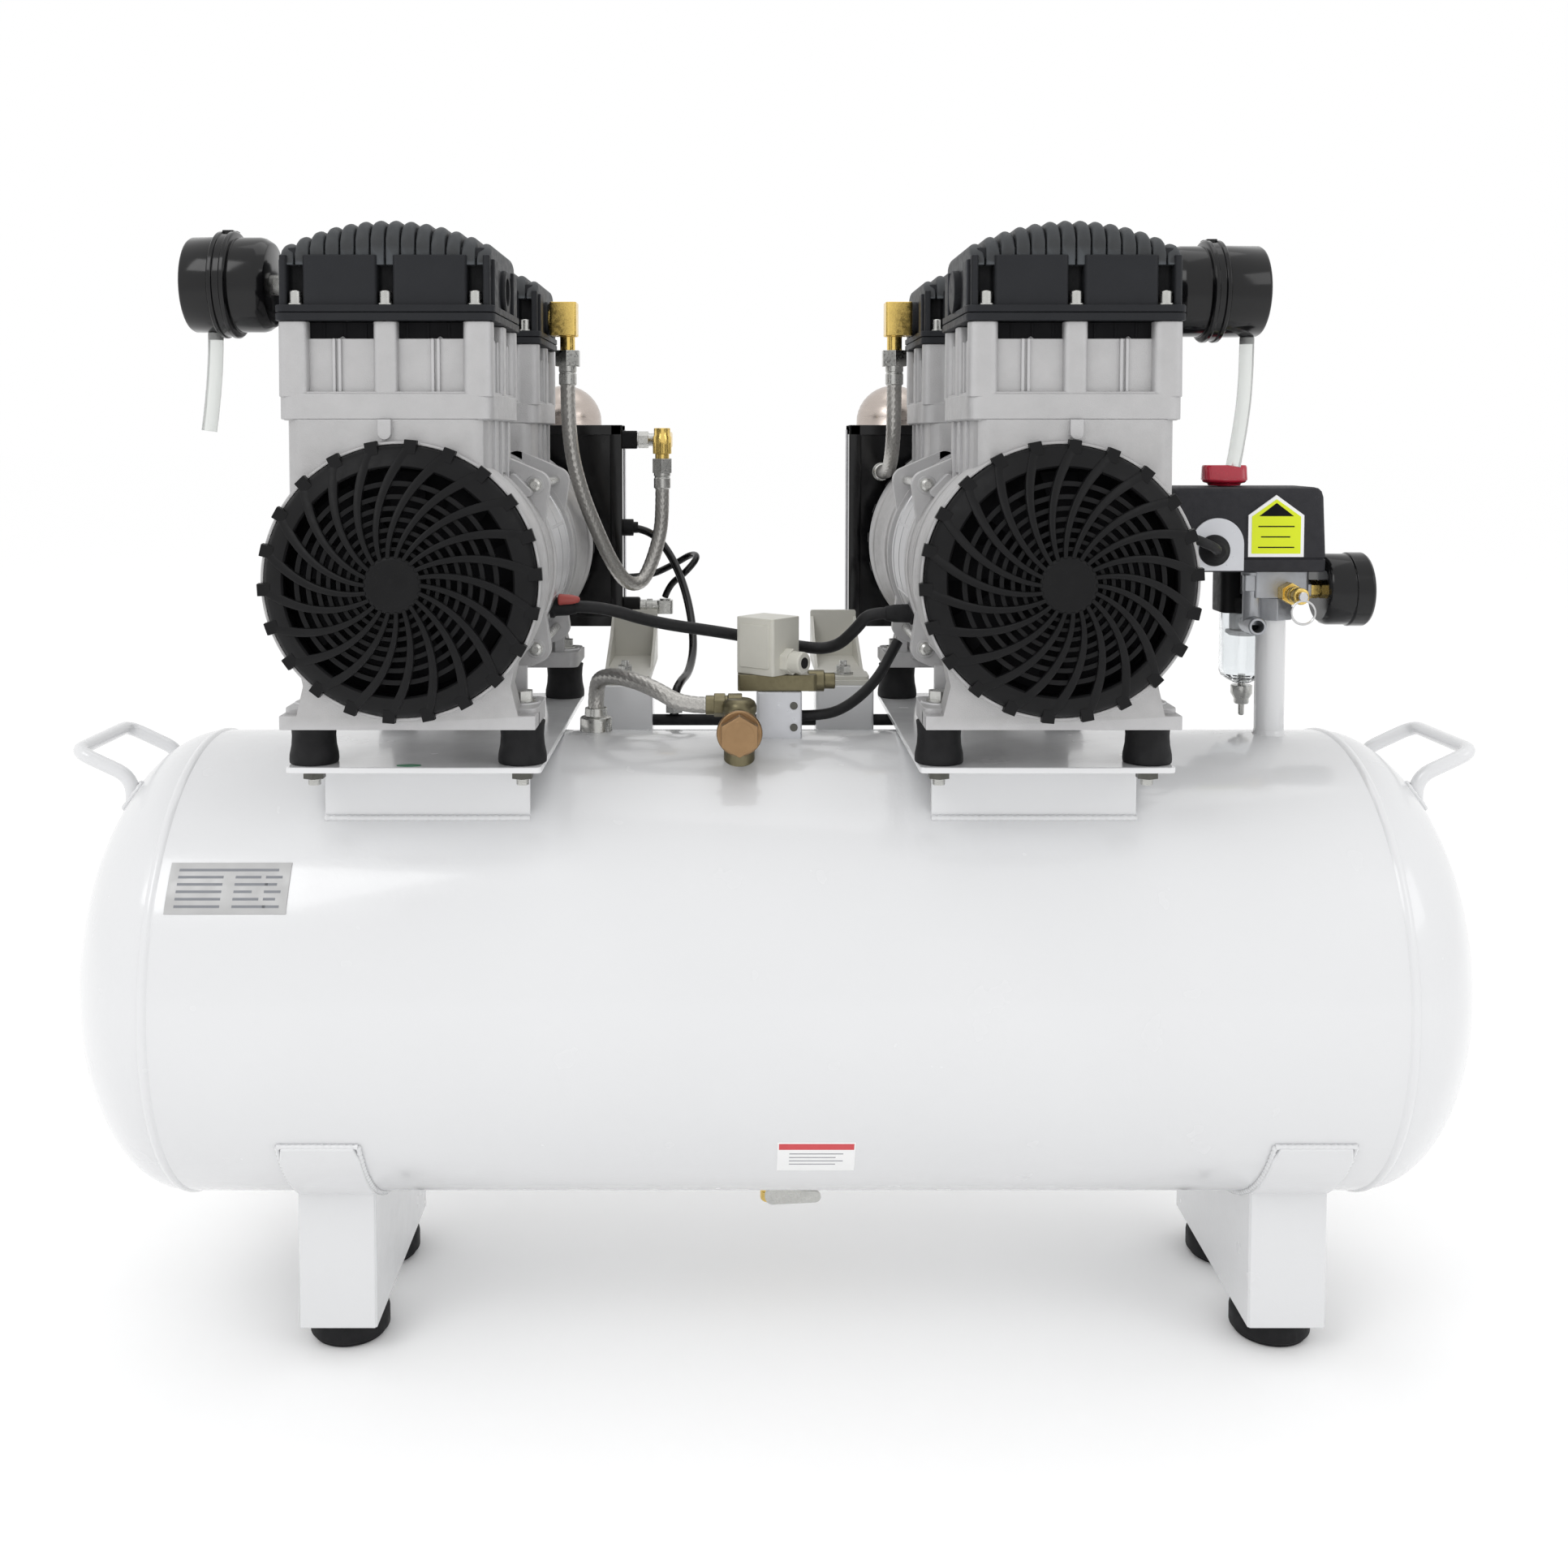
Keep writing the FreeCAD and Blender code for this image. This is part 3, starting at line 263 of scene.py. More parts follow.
def finish(name, colour, rough, metal=0.0, tone=0.0, tone_scale=40, grain=0.0, grain_scale=900,
           rough_swing=0.08, coat=0.0, clear=0.0, ior=1.5, shine=0.5, painted_edge_highlight=None, stretch=(1, 1, 1)):
    """A procedural surface: tone varies its colour, grain its height, and a painted edge highlight lightens
    its sharp edges.
    """
    material = bpy.data.materials.new(name)
    material.use_nodes = True
    nodes, links = material.node_tree.nodes, material.node_tree.links
    shader = nodes["Principled BSDF"]
    shader.inputs["Metallic"].default_value = metal
    shader.inputs["Coat Weight"].default_value = coat
    shader.inputs["Coat Roughness"].default_value = 0.08
    shader.inputs["Transmission Weight"].default_value = clear
    shader.inputs["IOR"].default_value = ior
    shader.inputs["Specular IOR Level"].default_value = shine
    place = nodes.new("ShaderNodeTexCoord")
    size = nodes.new("ShaderNodeMapping")
    size.inputs["Scale"].default_value = stretch
    links.new(place.outputs["Object"], size.inputs["Vector"])

    def noise(scale, detail):
        """A noise pattern, its scale in waves per metre."""
        texture = nodes.new("ShaderNodeTexNoise")
        texture.inputs["Scale"].default_value = scale
        texture.inputs["Detail"].default_value = detail
        links.new(size.outputs["Vector"], texture.inputs["Vector"])
        return texture.outputs["Fac"]

    def mixed(factor, first, second):
        """A blend of two colours or colour outputs."""
        mix = nodes.new("ShaderNodeMix")
        mix.data_type = "RGBA"
        links.new(factor, mix.inputs["Factor"])
        for socket, value in ((mix.inputs["A"], first), (mix.inputs["B"], second)):
            if isinstance(value, tuple):
                socket.default_value = value + (1,)
            else:
                links.new(value, socket)
        return mix.outputs["Result"]

    cloud = noise(tone_scale, 5)
    dark = tuple(c * (1 - tone) for c in colour)
    light = tuple(min(1.0, c * (1 + tone)) for c in colour)
    shade = mixed(cloud, dark, light)
    # Painted highlight: a lighter colour mixed in on sharp edges, found by pointiness, stands in for sheen.
    if painted_edge_highlight:
        edge = nodes.new("ShaderNodeNewGeometry")
        highlight_mask = nodes.new("ShaderNodeMapRange")
        highlight_mask.inputs["From Min"].default_value = 0.52
        highlight_mask.inputs["From Max"].default_value = 0.62
        links.new(edge.outputs["Pointiness"], highlight_mask.inputs["Value"])
        shade = mixed(highlight_mask.outputs["Result"], shade, painted_edge_highlight)
    links.new(shade, shader.inputs["Base Color"])
    polish = nodes.new("ShaderNodeMapRange")
    polish.inputs["From Min"].default_value = 0.3
    polish.inputs["From Max"].default_value = 0.7
    polish.inputs["To Min"].default_value = max(0.02, rough - rough_swing)
    polish.inputs["To Max"].default_value = min(1.0, rough + rough_swing)
    links.new(noise(tone_scale * 3, 3), polish.inputs["Value"])
    links.new(polish.outputs["Result"], shader.inputs["Roughness"])
    if grain:
        bump = nodes.new("ShaderNodeBump")
        bump.inputs["Strength"].default_value = 0.6
        bump.inputs["Distance"].default_value = grain * MM
        links.new(noise(grain_scale, 3), bump.inputs["Height"])
        links.new(bump.outputs["Normal"], shader.inputs["Normal"])
    FINISHES[name] = material


def make_finishes():
    """Every surface: its colour, its roughness, then how it varies; the lighter edge colours of casting,
    cover_black, fin_black and braid are painted highlights.
    """
    finish("white_paint", (0.7, 0.705, 0.715), 0.2, tone=0.02, tone_scale=9, grain=0.12, grain_scale=260,
           coat=0.5)
    finish("bracket_white", (0.6, 0.59, 0.54), 0.42, tone=0.06, tone_scale=30, grain=0.1)
    finish("casting", (0.4, 0.395, 0.395), 0.46, metal=0.45, tone=0.13, tone_scale=75, grain=0.4,
           grain_scale=1500,
           painted_edge_highlight=(0.56, 0.56, 0.57))
    finish("cover_black", (0.011, 0.0115, 0.0125), 0.5, shine=0.14, tone=0.3, tone_scale=60, grain=0.3,
           grain_scale=1100,
           painted_edge_highlight=(0.035, 0.037, 0.043))
    # fin_black is lighter than cover_black though both are the one black casting: the lighter grey is painted
    # sheen on the fins' tops.
    finish("fin_black", (0.034, 0.036, 0.038), 0.52, shine=0.26, tone=0.25, tone_scale=80, grain=0.25,
           grain_scale=1400,
           painted_edge_highlight=(0.09, 0.1, 0.11))
    finish("moulded_black", (0.0075, 0.0075, 0.008), 0.42, shine=0.13, tone=0.25, tone_scale=70, grain=0.12,
           grain_scale=1600)
    finish("gloss_black", (0.004, 0.004, 0.0045), 0.14, tone=0.2, tone_scale=30, rough_swing=0.04, shine=0.35)
    finish("textured_black", (0.018, 0.018, 0.022), 0.6, shine=0.3, tone=0.2, tone_scale=60, grain=0.5,
           grain_scale=1900)
    # deep_black is the fans' own black; the fan wells, cylinder windows and outlet bore also use it as
    # painted shade.
    finish("deep_black", (0.006, 0.006, 0.007), 0.7, tone=0.2, shine=0.12)
    finish("rubber", (0.008, 0.008, 0.009), 0.62, shine=0.25, tone=0.35, tone_scale=50, grain=0.15,
           grain_scale=700)
    finish("sleeve_black", (0.01, 0.01, 0.011), 0.5, shine=0.3, tone=0.35, tone_scale=90, grain=0.3,
           grain_scale=1200)
    finish("machined_steel", (0.6, 0.6, 0.6), 0.26, metal=1.0, tone=0.06, tone_scale=120, grain=0.03)
    finish("zinc", (0.5, 0.5, 0.48), 0.3, metal=1.0, tone=0.12, tone_scale=140, grain=0.06)
    finish("dark_zinc", (0.1, 0.1, 0.09), 0.4, metal=0.9, tone=0.3, tone_scale=140)
    finish("motor_shell", (0.46, 0.46, 0.47), 0.38, metal=0.85, tone=0.05, tone_scale=20, rough_swing=0.02)
    finish("braid", (0.42, 0.41, 0.39), 0.34, metal=0.9, tone=0.3, tone_scale=700, painted_edge_highlight=(0.85, 0.84, 0.8))
    finish("brass", (0.78, 0.56, 0.17), 0.24, metal=1.0, tone=0.12, tone_scale=90, grain=0.06)
    finish("bronze", (0.3, 0.19, 0.1), 0.36, metal=1.0, tone=0.2, tone_scale=90, grain=0.12)
    finish("olive_plating", (0.17, 0.15, 0.09), 0.36, metal=0.9, tone=0.25, tone_scale=110, grain=0.12)
    finish("piston_alloy", (0.72, 0.72, 0.73), 0.3, metal=1.0, tone=0.05)
    finish("canister", (0.5, 0.44, 0.4), 0.3, metal=0.95, tone=0.07, tone_scale=35, grain=0.05,
           grain_scale=400,
           stretch=(1, 1, 4))
    finish("side_grey", (0.5, 0.5, 0.52), 0.4, metal=0.3, tone=0.08, tone_scale=40)
    finish("coil_cream", (0.6, 0.59, 0.53), 0.42, tone=0.06, tone_scale=50, grain=0.06)
    finish("block_alloy", (0.6, 0.61, 0.64), 0.34, metal=0.35, tone=0.05, tone_scale=60, grain=0.05)
    finish("clear_tube", (0.86, 0.88, 0.86), 0.12, tone=0.03, clear=0.75, ior=1.42)
    finish("clear_bowl", (0.95, 0.97, 0.98), 0.04, tone=0.01, rough_swing=0.02, clear=0.97, ior=1.45)
    finish("knob_red", (0.42, 0.008, 0.03), 0.24, tone=0.1, tone_scale=60, coat=0.4)
    finish("wire_red", (0.34, 0.05, 0.04), 0.35, tone=0.12)
    finish("manifold_grey", (0.36, 0.37, 0.39), 0.36, metal=0.8, tone=0.16, tone_scale=90, grain=0.2,
           grain_scale=900)
    finish("plate_grey", (0.4, 0.4, 0.4), 0.4, metal=0.25, tone=0.04, tone_scale=30, grain=0.02)
    finish("mark_grey", (0.2, 0.21, 0.23), 0.5, tone=0.1)
    finish("label_white", (0.85, 0.85, 0.85), 0.4, tone=0.02)
    finish("label_red", (0.6, 0.05, 0.06), 0.4, tone=0.04)
    finish("label_yellow", (0.68, 0.78, 0.0), 0.36, tone=0.03)
    finish("label_green", (0.02, 0.2, 0.09), 0.4, tone=0.1)
    finish("dial_white", (0.9, 0.9, 0.88), 0.4, tone=0.02)


make_finishes()


# ---- cords --------------------------------------------------------------------------------------

def route_curve(name, route):
    """A smooth open spline whose control points are a route's points."""
    curve = bpy.data.curves.new(name, "CURVE")
    curve.dimensions = "3D"
    spline = curve.splines.new("NURBS")
    spline.points.add(len(route) - 1)
    for control, point in zip(spline.points, route):
        control.co = put(point).to_4d()
    spline.order_u = 3
    spline.use_endpoint_u = True
    spline.resolution_u = 12
    return curve


def spline_line(curve):
    """The points that a route's spline passes through, in metres."""
    holder = bpy.data.objects.new("holder", curve)
    bpy.context.scene.collection.objects.link(holder)
    read = bpy.data.meshes.new_from_object(holder)
    line = [vertex.co.copy() for vertex in read.vertices]
    bpy.data.objects.remove(holder)
    bpy.data.meshes.remove(read)
    return line


def spread(line, step):
    """The same line with its points a step apart."""
    gaps = [(b - a).length for a, b in zip(line, line[1:])]
    count = max(2, round(sum(gaps) / step))
    found, index, walked = [], 0, 0.0
    for k in range(count + 1):
        goal = sum(gaps) * k / count
        while index < len(gaps) - 1 and walked + gaps[index] < goal:
            walked += gaps[index]
            index += 1
        found.append(line[index].lerp(line[index + 1], min(1.0, (goal - walked) / gaps[index])))
    return found


def soft_line(name, route, diameter, surface, stands_for):
    """A plain hose, wire or tube."""
    curve = route_curve(name, route)
    curve.bevel_depth = diameter / 2 * MM
    curve.bevel_resolution = 6
    curve.use_fill_caps = True
    curve.materials.append(FINISHES[surface])
    obj = bpy.data.objects.new(name, curve)
    bpy.context.scene.collection.objects.link(obj)
    tie(obj, stands_for)


def braided_hose(name, route, diameter, stands_for):
    """A hose in woven wire: two sets of strands that pass over and under each other."""
    ring_step, sides = 0.9 * MM, 60
    strands, lay, proud = 10, 11 * MM, 0.35 * MM
    line = spread(spline_line(route_curve(name, route)), ring_step)
    shape = Shape()
    radius = diameter / 2 * MM - proud
    rings, walked = [], 0.0
    for i, (point, (side, up)) in enumerate(zip(line, frames(line))):
        walked += (point - line[i - 1]).length if i else 0.0
        ring = []
        for k in range(sides):
            turn = 2 * math.pi * k / sides
            one = strands * turn / (2 * math.pi) + walked / lay * 2
            other = strands * turn / (2 * math.pi) - walked / lay * 2
            over = (math.floor(one) + math.floor(other)) % 2
            lift = abs(math.sin(math.pi * (one if over else other)))
            reach = radius + proud * lift
            ring.append(point + side * reach * math.cos(turn) + up * reach * math.sin(turn))
        rings.append(ring)
    rows = [[shape.bm.verts.new(p) for p in ring] for ring in rings]
    for near, far in zip(rows, rows[1:]):
        for i in range(sides):
            j = (i + 1) % sides
            face = shape.bm.faces.new((near[i], near[j], far[j], far[i]))
            face.smooth = True
    shape.bm.faces.new(rows[0])
    shape.bm.faces.new(rows[-1])
    obj = piece(name, shape, "braid", stands_for, ease=0, sharp=80)


OUTLET_ROUTES = {
    "left": [(-163, 122, 684), (-163, 122, 644), (-155, 134, 600), (-138, 152, 554), (-128, 163, 532),
             (-118, 174, 518), (-107, 184, 518), (-99, 191, 534), (-92, 196, 558), (-90, 196, 578),
             (-90, 196, 598)],
    "right": [(101, 122, 684), (101, 122, 656), (101, 134, 632), (101, 160, 616), (101, 192, 612),
              (101, 222, 612)],
}
TANK_HOSE = [(-49, -44, 451), (-66, -44, 451), (-86, -37, 462), (-108, -23, 468), (-126, -4, 466),
             (-132, 12, 456),
             (-132, 12, 440)]
UNLOADER = [(-127, 250, 562), (-104, 250, 562), (-82, 236, 536), (-68, 208, 502), (-62, 170, 468),
            (-65, 130, 450), (-72, 98, 446), (-76, 85, 438), (-76, 85, 422.5)]
COOLER_DRAIN = [(-90, 250, 500), (-86, 247, 511), (-72, 238, 522), (-60, 244, 536), (-66, 262, 538),
                (-82, 266, 528), (-106, 258, 517), (-127, 258, 517)]
MANIFOLD_LINE = [(21, 0, 436), (38, 0, 436), (54, 4, 441), (70, 12, 452), (82, 22, 464), (90, 30, 477),
                 (96, 34, 487)]
MOTOR_LOOM = [(-145, 0, 517), (-126, 0, 517), (-88, 16, 503), (-34, 30, 494), (16, 30, 484), (46, 22, 482),
              (63, 8, 500), (70, 0, 512), (83, 0, 512)]
SWITCH_CABLE = [(316, -30, 561), (316, -44, 561), (307, -56, 566), (292, -52, 572), (281, -36, 574),
                (266, -36, 574)]
VENTS = {
    "left": [(-371, -118, 710.6), (-371, -118, 682), (-376, -119, 646)],
    "right": [(325, -70, 710.6), (325, -70, 690), (323, -70, 656), (317, -70, 622)],
}


def cords():
    """Braided hoses, plain lines, wires and vent tubes."""
    for name, route, length, node in (("left_braided_hose", OUTLET_ROUTES["left"], 283, "left_outlet_hose"),
                                      ("right_braided_hose", OUTLET_ROUTES["right"], 146,
                                       "right_outlet_hose"),
                                      ("tank_braided_hose", TANK_HOSE, 127, "tank_hose")):
        braided_hose(name, route, 12, node)
    for name, route, diameter, length, surface, node in (
            ("unloader_hose", UNLOADER, 7, 261, "gloss_black", "air_lines"),
            ("cooler_drain_hose", COOLER_DRAIN, 6, 131, "gloss_black", "air_lines"),
            ("manifold_hose", MANIFOLD_LINE, 8, 104, "sleeve_black", "air_lines"),
            ("motor_cable_loom", MOTOR_LOOM, 9, 255, "sleeve_black", "wiring"),
            ("switch_cable", SWITCH_CABLE, 7, 77, "sleeve_black", "wiring")):
        soft_line(name, route, diameter, surface, node)
    for side, length in (("left", 65), ("right", 89)):
        soft_line(side + "_vent_tube", VENTS[side], 10, "clear_tube", "vent_tubes")


cords()


# ---- tank, legs and platforms -------------------------------------------------------------------

BARREL_LOW, BARREL_HIGH, BARREL = span("tank_shell")
TANK_R = (BARREL_HIGH.z - BARREL_LOW.z) / 2
SEAM_X = BARREL_HIGH.x
HEAD_DEEP = span("tank_heads")[1].x - SEAM_X
LEG_REACH = 92  # half a leg's depth
MOUNT_X, MOUNT_Y = 68.5, 136  # a rubber mount's place from its shaft
TIE_X, TIE_Z = 70, 57  # a tie bolt's place from its shaft


def on_barrel(x, angle, lift=0.0):
    """A point on the tank's barrel; the angle is from straight down towards the front, in radians."""
    reach = TANK_R + lift
    return Vector((x, -reach * math.sin(angle), BARREL.z - reach * math.cos(angle)))


def tank():
    """The barrel, its two elliptical ends, and the weld seams round and along it."""
    wall, bead, bead_high, steps = 3, 3.2, 1.3, 24
    shell = Shape((0, 0, BARREL.z))
    shell.lathe([(-SEAM_X, TANK_R - wall), (-SEAM_X, TANK_R), (SEAM_X, TANK_R), (SEAM_X, TANK_R - wall)], "X",
                sides=160, closed=True)
    piece("tank_barrel", shell, "white_paint", "tank_shell", ease=0)
    heads = Shape((0, 0, BARREL.z))
    for side in (-1, 1):
        outer, inner = [], []
        for i in range(steps + 1):
            turn = math.pi / 2 * i / steps
            outer.append((side * (SEAM_X + HEAD_DEEP * math.sin(turn)), TANK_R * math.cos(turn)))
            inner.append((side * (SEAM_X + (HEAD_DEEP - wall) * math.sin(turn)),
                          (TANK_R - wall) * math.cos(turn)))
        heads.lathe(outer + inner[::-1], "X", sides=160, closed=True)
    piece("tank_ends", heads, "white_paint", "tank_heads", ease=0)
    welds = Shape((0, 0, BARREL.z))
    for side in (-1, 1):
        profile = [(side * SEAM_X - bead, TANK_R - 1)]
        for i in range(7):
            across = -1 + 2 * i / 6
            profile.append((side * SEAM_X + bead * across, TANK_R + bead_high * (1 - across ** 2)))
        profile.append((side * SEAM_X + bead, TANK_R - 1))
        welds.lathe(profile, "X", sides=160, closed=True)
    long_seam = []
    for i in range(7):
        across = -1 + 2 * i / 6
        long_seam.append((TANK_R - 0.6 + 1.7 * (1 - across ** 2), 4 * across))
    rings = [[(x, a, b) for a, b in long_seam + [(TANK_R - 2, 4), (TANK_R - 2, -4)]]
             for x in (-SEAM_X, SEAM_X)]
    welds.skin(rings)
    piece("tank_welds", welds, "white_paint", ease=0)


def weld_bead(shape, line, radius=2.2):
    """A rippled fillet of weld along a line."""
    line = [Vector(p) for p in line]
    fine = spread(line, 1.6)
    radii = [radius * (1 + 0.16 * math.sin(i * 2.1) + random.uniform(-0.05, 0.05)) for i in range(len(fine))]
    shape.sweep(fine, radii, 8)


def leg(name, side):
    """A bent channel under the tank, its web on the inner edge and its saddles on the barrel."""
    low, high, middle = span(name)
    wide, reach, sheet_thick, seam = high.x - low.x, LEG_REACH, 4, 0.8
    foot_near, foot_far = 28, 84
    shape = Shape()
    inner_x = high.x if side < 0 else low.x
    rim = []
    for i in range(17):
        turn = math.asin((reach - seam) / TANK_R) * (1 - 2 * i / 16)
        rim.append(on_barrel(0, turn))
    web = [(p.y, p.z + 1.5) for p in rim] + [(reach - seam, low.z), (seam - reach, low.z)]
    flange_x = sorted((low.x + high.x - inner_x, inner_x - math.copysign(seam, inner_x - middle.x)))
    shape.prism(web, inner_x, inner_x - math.copysign(sheet_thick, inner_x - middle.x), "X")
    saddle_low, saddle_high = math.radians(31.5), math.radians(59)
    for end in (-1, 1):
        flange_y = sorted((end * (reach - sheet_thick), end * reach))
        shape.block((flange_x[0], flange_y[0], low.z),
                    (flange_x[1], flange_y[1], on_barrel(0, saddle_low).z + 4))
        rings = []
        for i in range(13):
            turn = -end * (saddle_low + (saddle_high - saddle_low) * i / 12)
            trim = 0.0 if i < 11 else (i - 10) * 1.4
            inside, outside = on_barrel(0, turn, -0.4), on_barrel(0, turn, sheet_thick)
            rings.append([(low.x + trim, inside.y, inside.z), (high.x - trim, inside.y, inside.z),
                          (high.x - trim, outside.y, outside.z), (low.x + trim, outside.y, outside.z)])
        shape.skin(rings)
        foot = sorted((end * foot_near, end * foot_far))
        shape.block((flange_x[0], foot[0], low.z + 0.3), (flange_x[1], foot[1], low.z + sheet_thick))
    piece(name + "_channel", shape, "white_paint", name, ease=1.2)
    beads = Shape()
    for end in (-1, 1):
        for x in (low.x, high.x):
            line = [on_barrel(x, -end * (saddle_low + (saddle_high - saddle_low) * i / 20), 1)
                    for i in range(21)]
            weld_bead(beads, line, 1.8)
        line = [on_barrel(low.x + wide * i / 12, -end * saddle_high, 1.2) for i in range(13)]
        weld_bead(beads, line, 1.8)
    weld_bead(beads, [on_barrel(inner_x, math.asin(reach / TANK_R) * (1 - i / 10), 1) for i in range(21)], 2)
    piece(name + "_welds", beads, "white_paint", ease=0, sharp=80)


def feet():
    """Round rubber feet, each under a washer in its leg."""
    shape, pads = Shape(), Shape()
    profile = [(0, 20), (0, 24), (0.8, 25.5), (3, 26), (4, 28), (15, 28), (17, 27.6), (18.5, 26.4), (20, 24)]
    for x in (span("leg_left")[2].x, span("leg_right")[2].x):
        for y in (-56, 56):
            shape.lathe(profile, at=(x, y, 0), sides=64)
            pads.lathe([(3, 12), (6, 12)], at=(x, y, 17), sides=32)
    piece("round_feet", shape, "rubber", "rubber_feet", ease=0.6)
    piece("foot_washers", pads, "zinc", ease=0.3)


def handles():
    """A bent bar at each end of the tank, with a weld round each of its roots."""
    bar, reach, ring_r = 5, 50, 6
    bottom, knee, top = 372, 400, 419
    shape, beads = Shape(), Shape()
    for side in (-1, 1):
        tip, root = side * (span("handles")[1].x - bar), side * 457
        corners = [(root, -reach, bottom), (root, -reach, knee), (tip, -reach, top), (tip, reach, top),
                   (root, reach, knee), (root, reach, bottom)]
        shape.sweep(bent(corners, 12), bar, 20)
        for end in (-1, 1):
            ring = [Vector((root + ring_r * math.cos(a), end * reach + ring_r * math.sin(a), 0))
                    for a in [2 * math.pi * i / 24 for i in range(25)]]
            for point in ring:
                over = (abs(point.x) - SEAM_X) / HEAD_DEEP
                point.z = BARREL.z + math.sqrt(max(0, TANK_R ** 2 * (1 - over ** 2) - point.y ** 2)) + 0.6
            weld_bead(beads, ring, 1.8)
    piece("carry_handles", shape, "white_paint", "handles", ease=0)
    piece("handle_welds", beads, "white_paint", ease=0, sharp=80)


def platform(side):
    """A plate with a downturned rail front and back, on which a pump's rubber mounts stand."""
    low, high, middle = span("platform_" + side)
    shape = Shape()
    shape.block((low.x, low.y, high.z - 4), (high.x, high.y, high.z), 4)
    half, rail_near, rail_far = 69.5, 102, 106
    for end in (-1, 1):
        inner = math.sqrt(TANK_R ** 2 - 104 ** 2)
        rail = sorted((end * rail_near, end * rail_far))
        shape.block((middle.x - half, rail[0], BARREL.z + inner - 3),
                    (middle.x + half, rail[1], high.z - 3.5))
    piece(side + "_platform", shape, "white_paint", "platform_" + side, ease=0.9)
    beads = Shape()
    for end in (-1, 1):
        z = BARREL.z + math.sqrt(TANK_R ** 2 - rail_far ** 2)
        line = [(middle.x + flank * half, end * (rail_far + 1), z) for flank in (-1, 1)]
        weld_bead(beads, line, 2)
    piece(side + "_platform_welds", beads, "white_paint", ease=0, sharp=80)


def mounts_and_bolts():
    """Waisted rubber mounts with their studs and nuts, and the bolts that tie each motor together."""
    low, high, _ = span("rubber_mounts")
    tall = high.z - low.z
    waist = [(0, 14.6), (0.4, 15.8), (2.5, 16), (6, 15.8), (12, 14.6), (18, 14.2), (24, 14.6), (tall, 15.2)]
    rubber, studs = Shape(), Shape()
    for side in ("left", "right"):
        shaft = span(side + "_rotor")[2]
        for a in (-1, 1):
            for b in (-1, 1):
                at = (shaft.x + MOUNT_X * a, MOUNT_Y * b, low.z)
                rubber.lathe(waist, at=at, sides=48)
                studs.finish = 1
                studs.prism(hexagon(13), -10.5, -4.1, at=at)
                studs.rod(10, -4.2, -4, at=at)
                studs.finish = 0
                studs.rod(4, -15, 0, at=at)
                for k in range(5):
                    studs.rod(4.2, -14.5 + k * 1, -14 + k * 1, at=at)
                studs.rod(9, tall + 13, tall + 14.4, at=at)
                studs.prism(hexagon(13), tall + 14.2, tall + 20, at=at)
                tie_at = (shaft.x + TIE_X * a, 0, shaft.z + TIE_Z * b)
                studs.rod(3, -76, 76, "Y", at=tie_at)
                for end in (-1, 1):
                    studs.lathe([(end * 72, 4.8), (end * 72.8, 4.8), (end * 72.8, 4.4), (end * 76, 4.2),
                                 (end * 77.2, 2.6)], "Y", at=tie_at, sides=24)
    piece("waisted_mounts", rubber, "rubber", "rubber_mounts", ease=0.4)
    piece("bolts_and_studs", studs, ["zinc", "dark_zinc"], "bolts", ease=0.3)


def drain_cock():
    """A plug valve under the tank, with its lever."""
    z = span("tank_drain_cock")[0].z + 13
    body = Shape((0, 0, z))
    body.lathe([(-13, 7.2), (-12, 9), (-5, 9), (-5, 7), (-3, 7), (-3, 9)], sides=32)
    body.prism(hexagon(17), -5, 5)
    body.rod(9, 5, 14)
    body.rod(5, -20, -2, "Y")
    piece("drain_cock_body", body, "brass", "tank_drain_cock", ease=0.5)
    lever = Shape((0, -22, z))
    lever.lathe([(-2.4, 4), (-2.4, 6), (1.4, 6), (1.4, 4)], "Y", sides=24)
    lever.prism(hull(circle(6, 20) + circle(4.4, 20, centre=(31, 0))), -2.3, 0.2, "Y")
    piece("drain_cock_lever", lever, "zinc", "tank_drain_lever", "tank_drain_lever", ease=0.4)


def patch(shape, x_low, x_high, turn_low, turn_high, lift, thick, steps=10):
    """A thin plate bent to the barrel; turns are degrees from straight down towards the front."""
    rings = []
    for i in range(steps + 1):
        turn = math.radians(turn_low + (turn_high - turn_low) * i / steps)
        ring = []
        for x, rise in ((x_low, lift), (x_high, lift), (x_high, lift + thick), (x_low, lift + thick)):
            ring.append(on_barrel(x, turn, rise))
        rings.append(ring)
    shape.skin(rings)


def labels():
    """A blank rating plate and a blank label with a red band, both with plain bars in place of words."""
    plate, marks = Shape(), Shape()
    patch(plate, -402, -322, 116, 128, -0.2, 0.8)
    for row in range(6):
        turn = 126.2 - row * 1.7
        for left, wide in ((-396, 30 if row else 66), (-358, 12 + 5 * (row % 3)), (-338, 8 + 3 * (row % 2))):
            if row or left == -396:
                patch(marks, left, left + wide, turn - 0.3, turn + 0.3, 0.55, 0.12, 2)
    piece("rating_plate", plate, "plate_grey", ease=0.15)
    piece("rating_plate_marks", marks, "mark_grey", ease=0)
    label, band, lines = Shape(), Shape(), Shape()
    patch(label, 0, 52, 48, 60, -0.2, 0.5)
    patch(band, 1, 51, 57.4, 59.6, 0.25, 0.12, 3)
    for row in range(4):
        patch(lines, 8, 44 - 5 * (row % 2), 55.6 - row * 1.5, 55.9 - row * 1.5, 0.25, 0.12, 2)
    piece("small_label", label, "label_white", ease=0.1)
    piece("small_label_band", band, "label_red", ease=0)
    piece("small_label_lines", lines, "mark_grey", ease=0)
    low, high, middle = span("platform_left")
    dot = Shape((middle.x - 4, low.y + 7, high.z))
    dot.prism([(8 * u, 3.5 * v) for u, v in circle(1, 40)], -0.1, 0.3)
    piece("platform_dot", dot, "label_green", ease=0)


# ---- pumps --------------------------------------------------------------------------------------

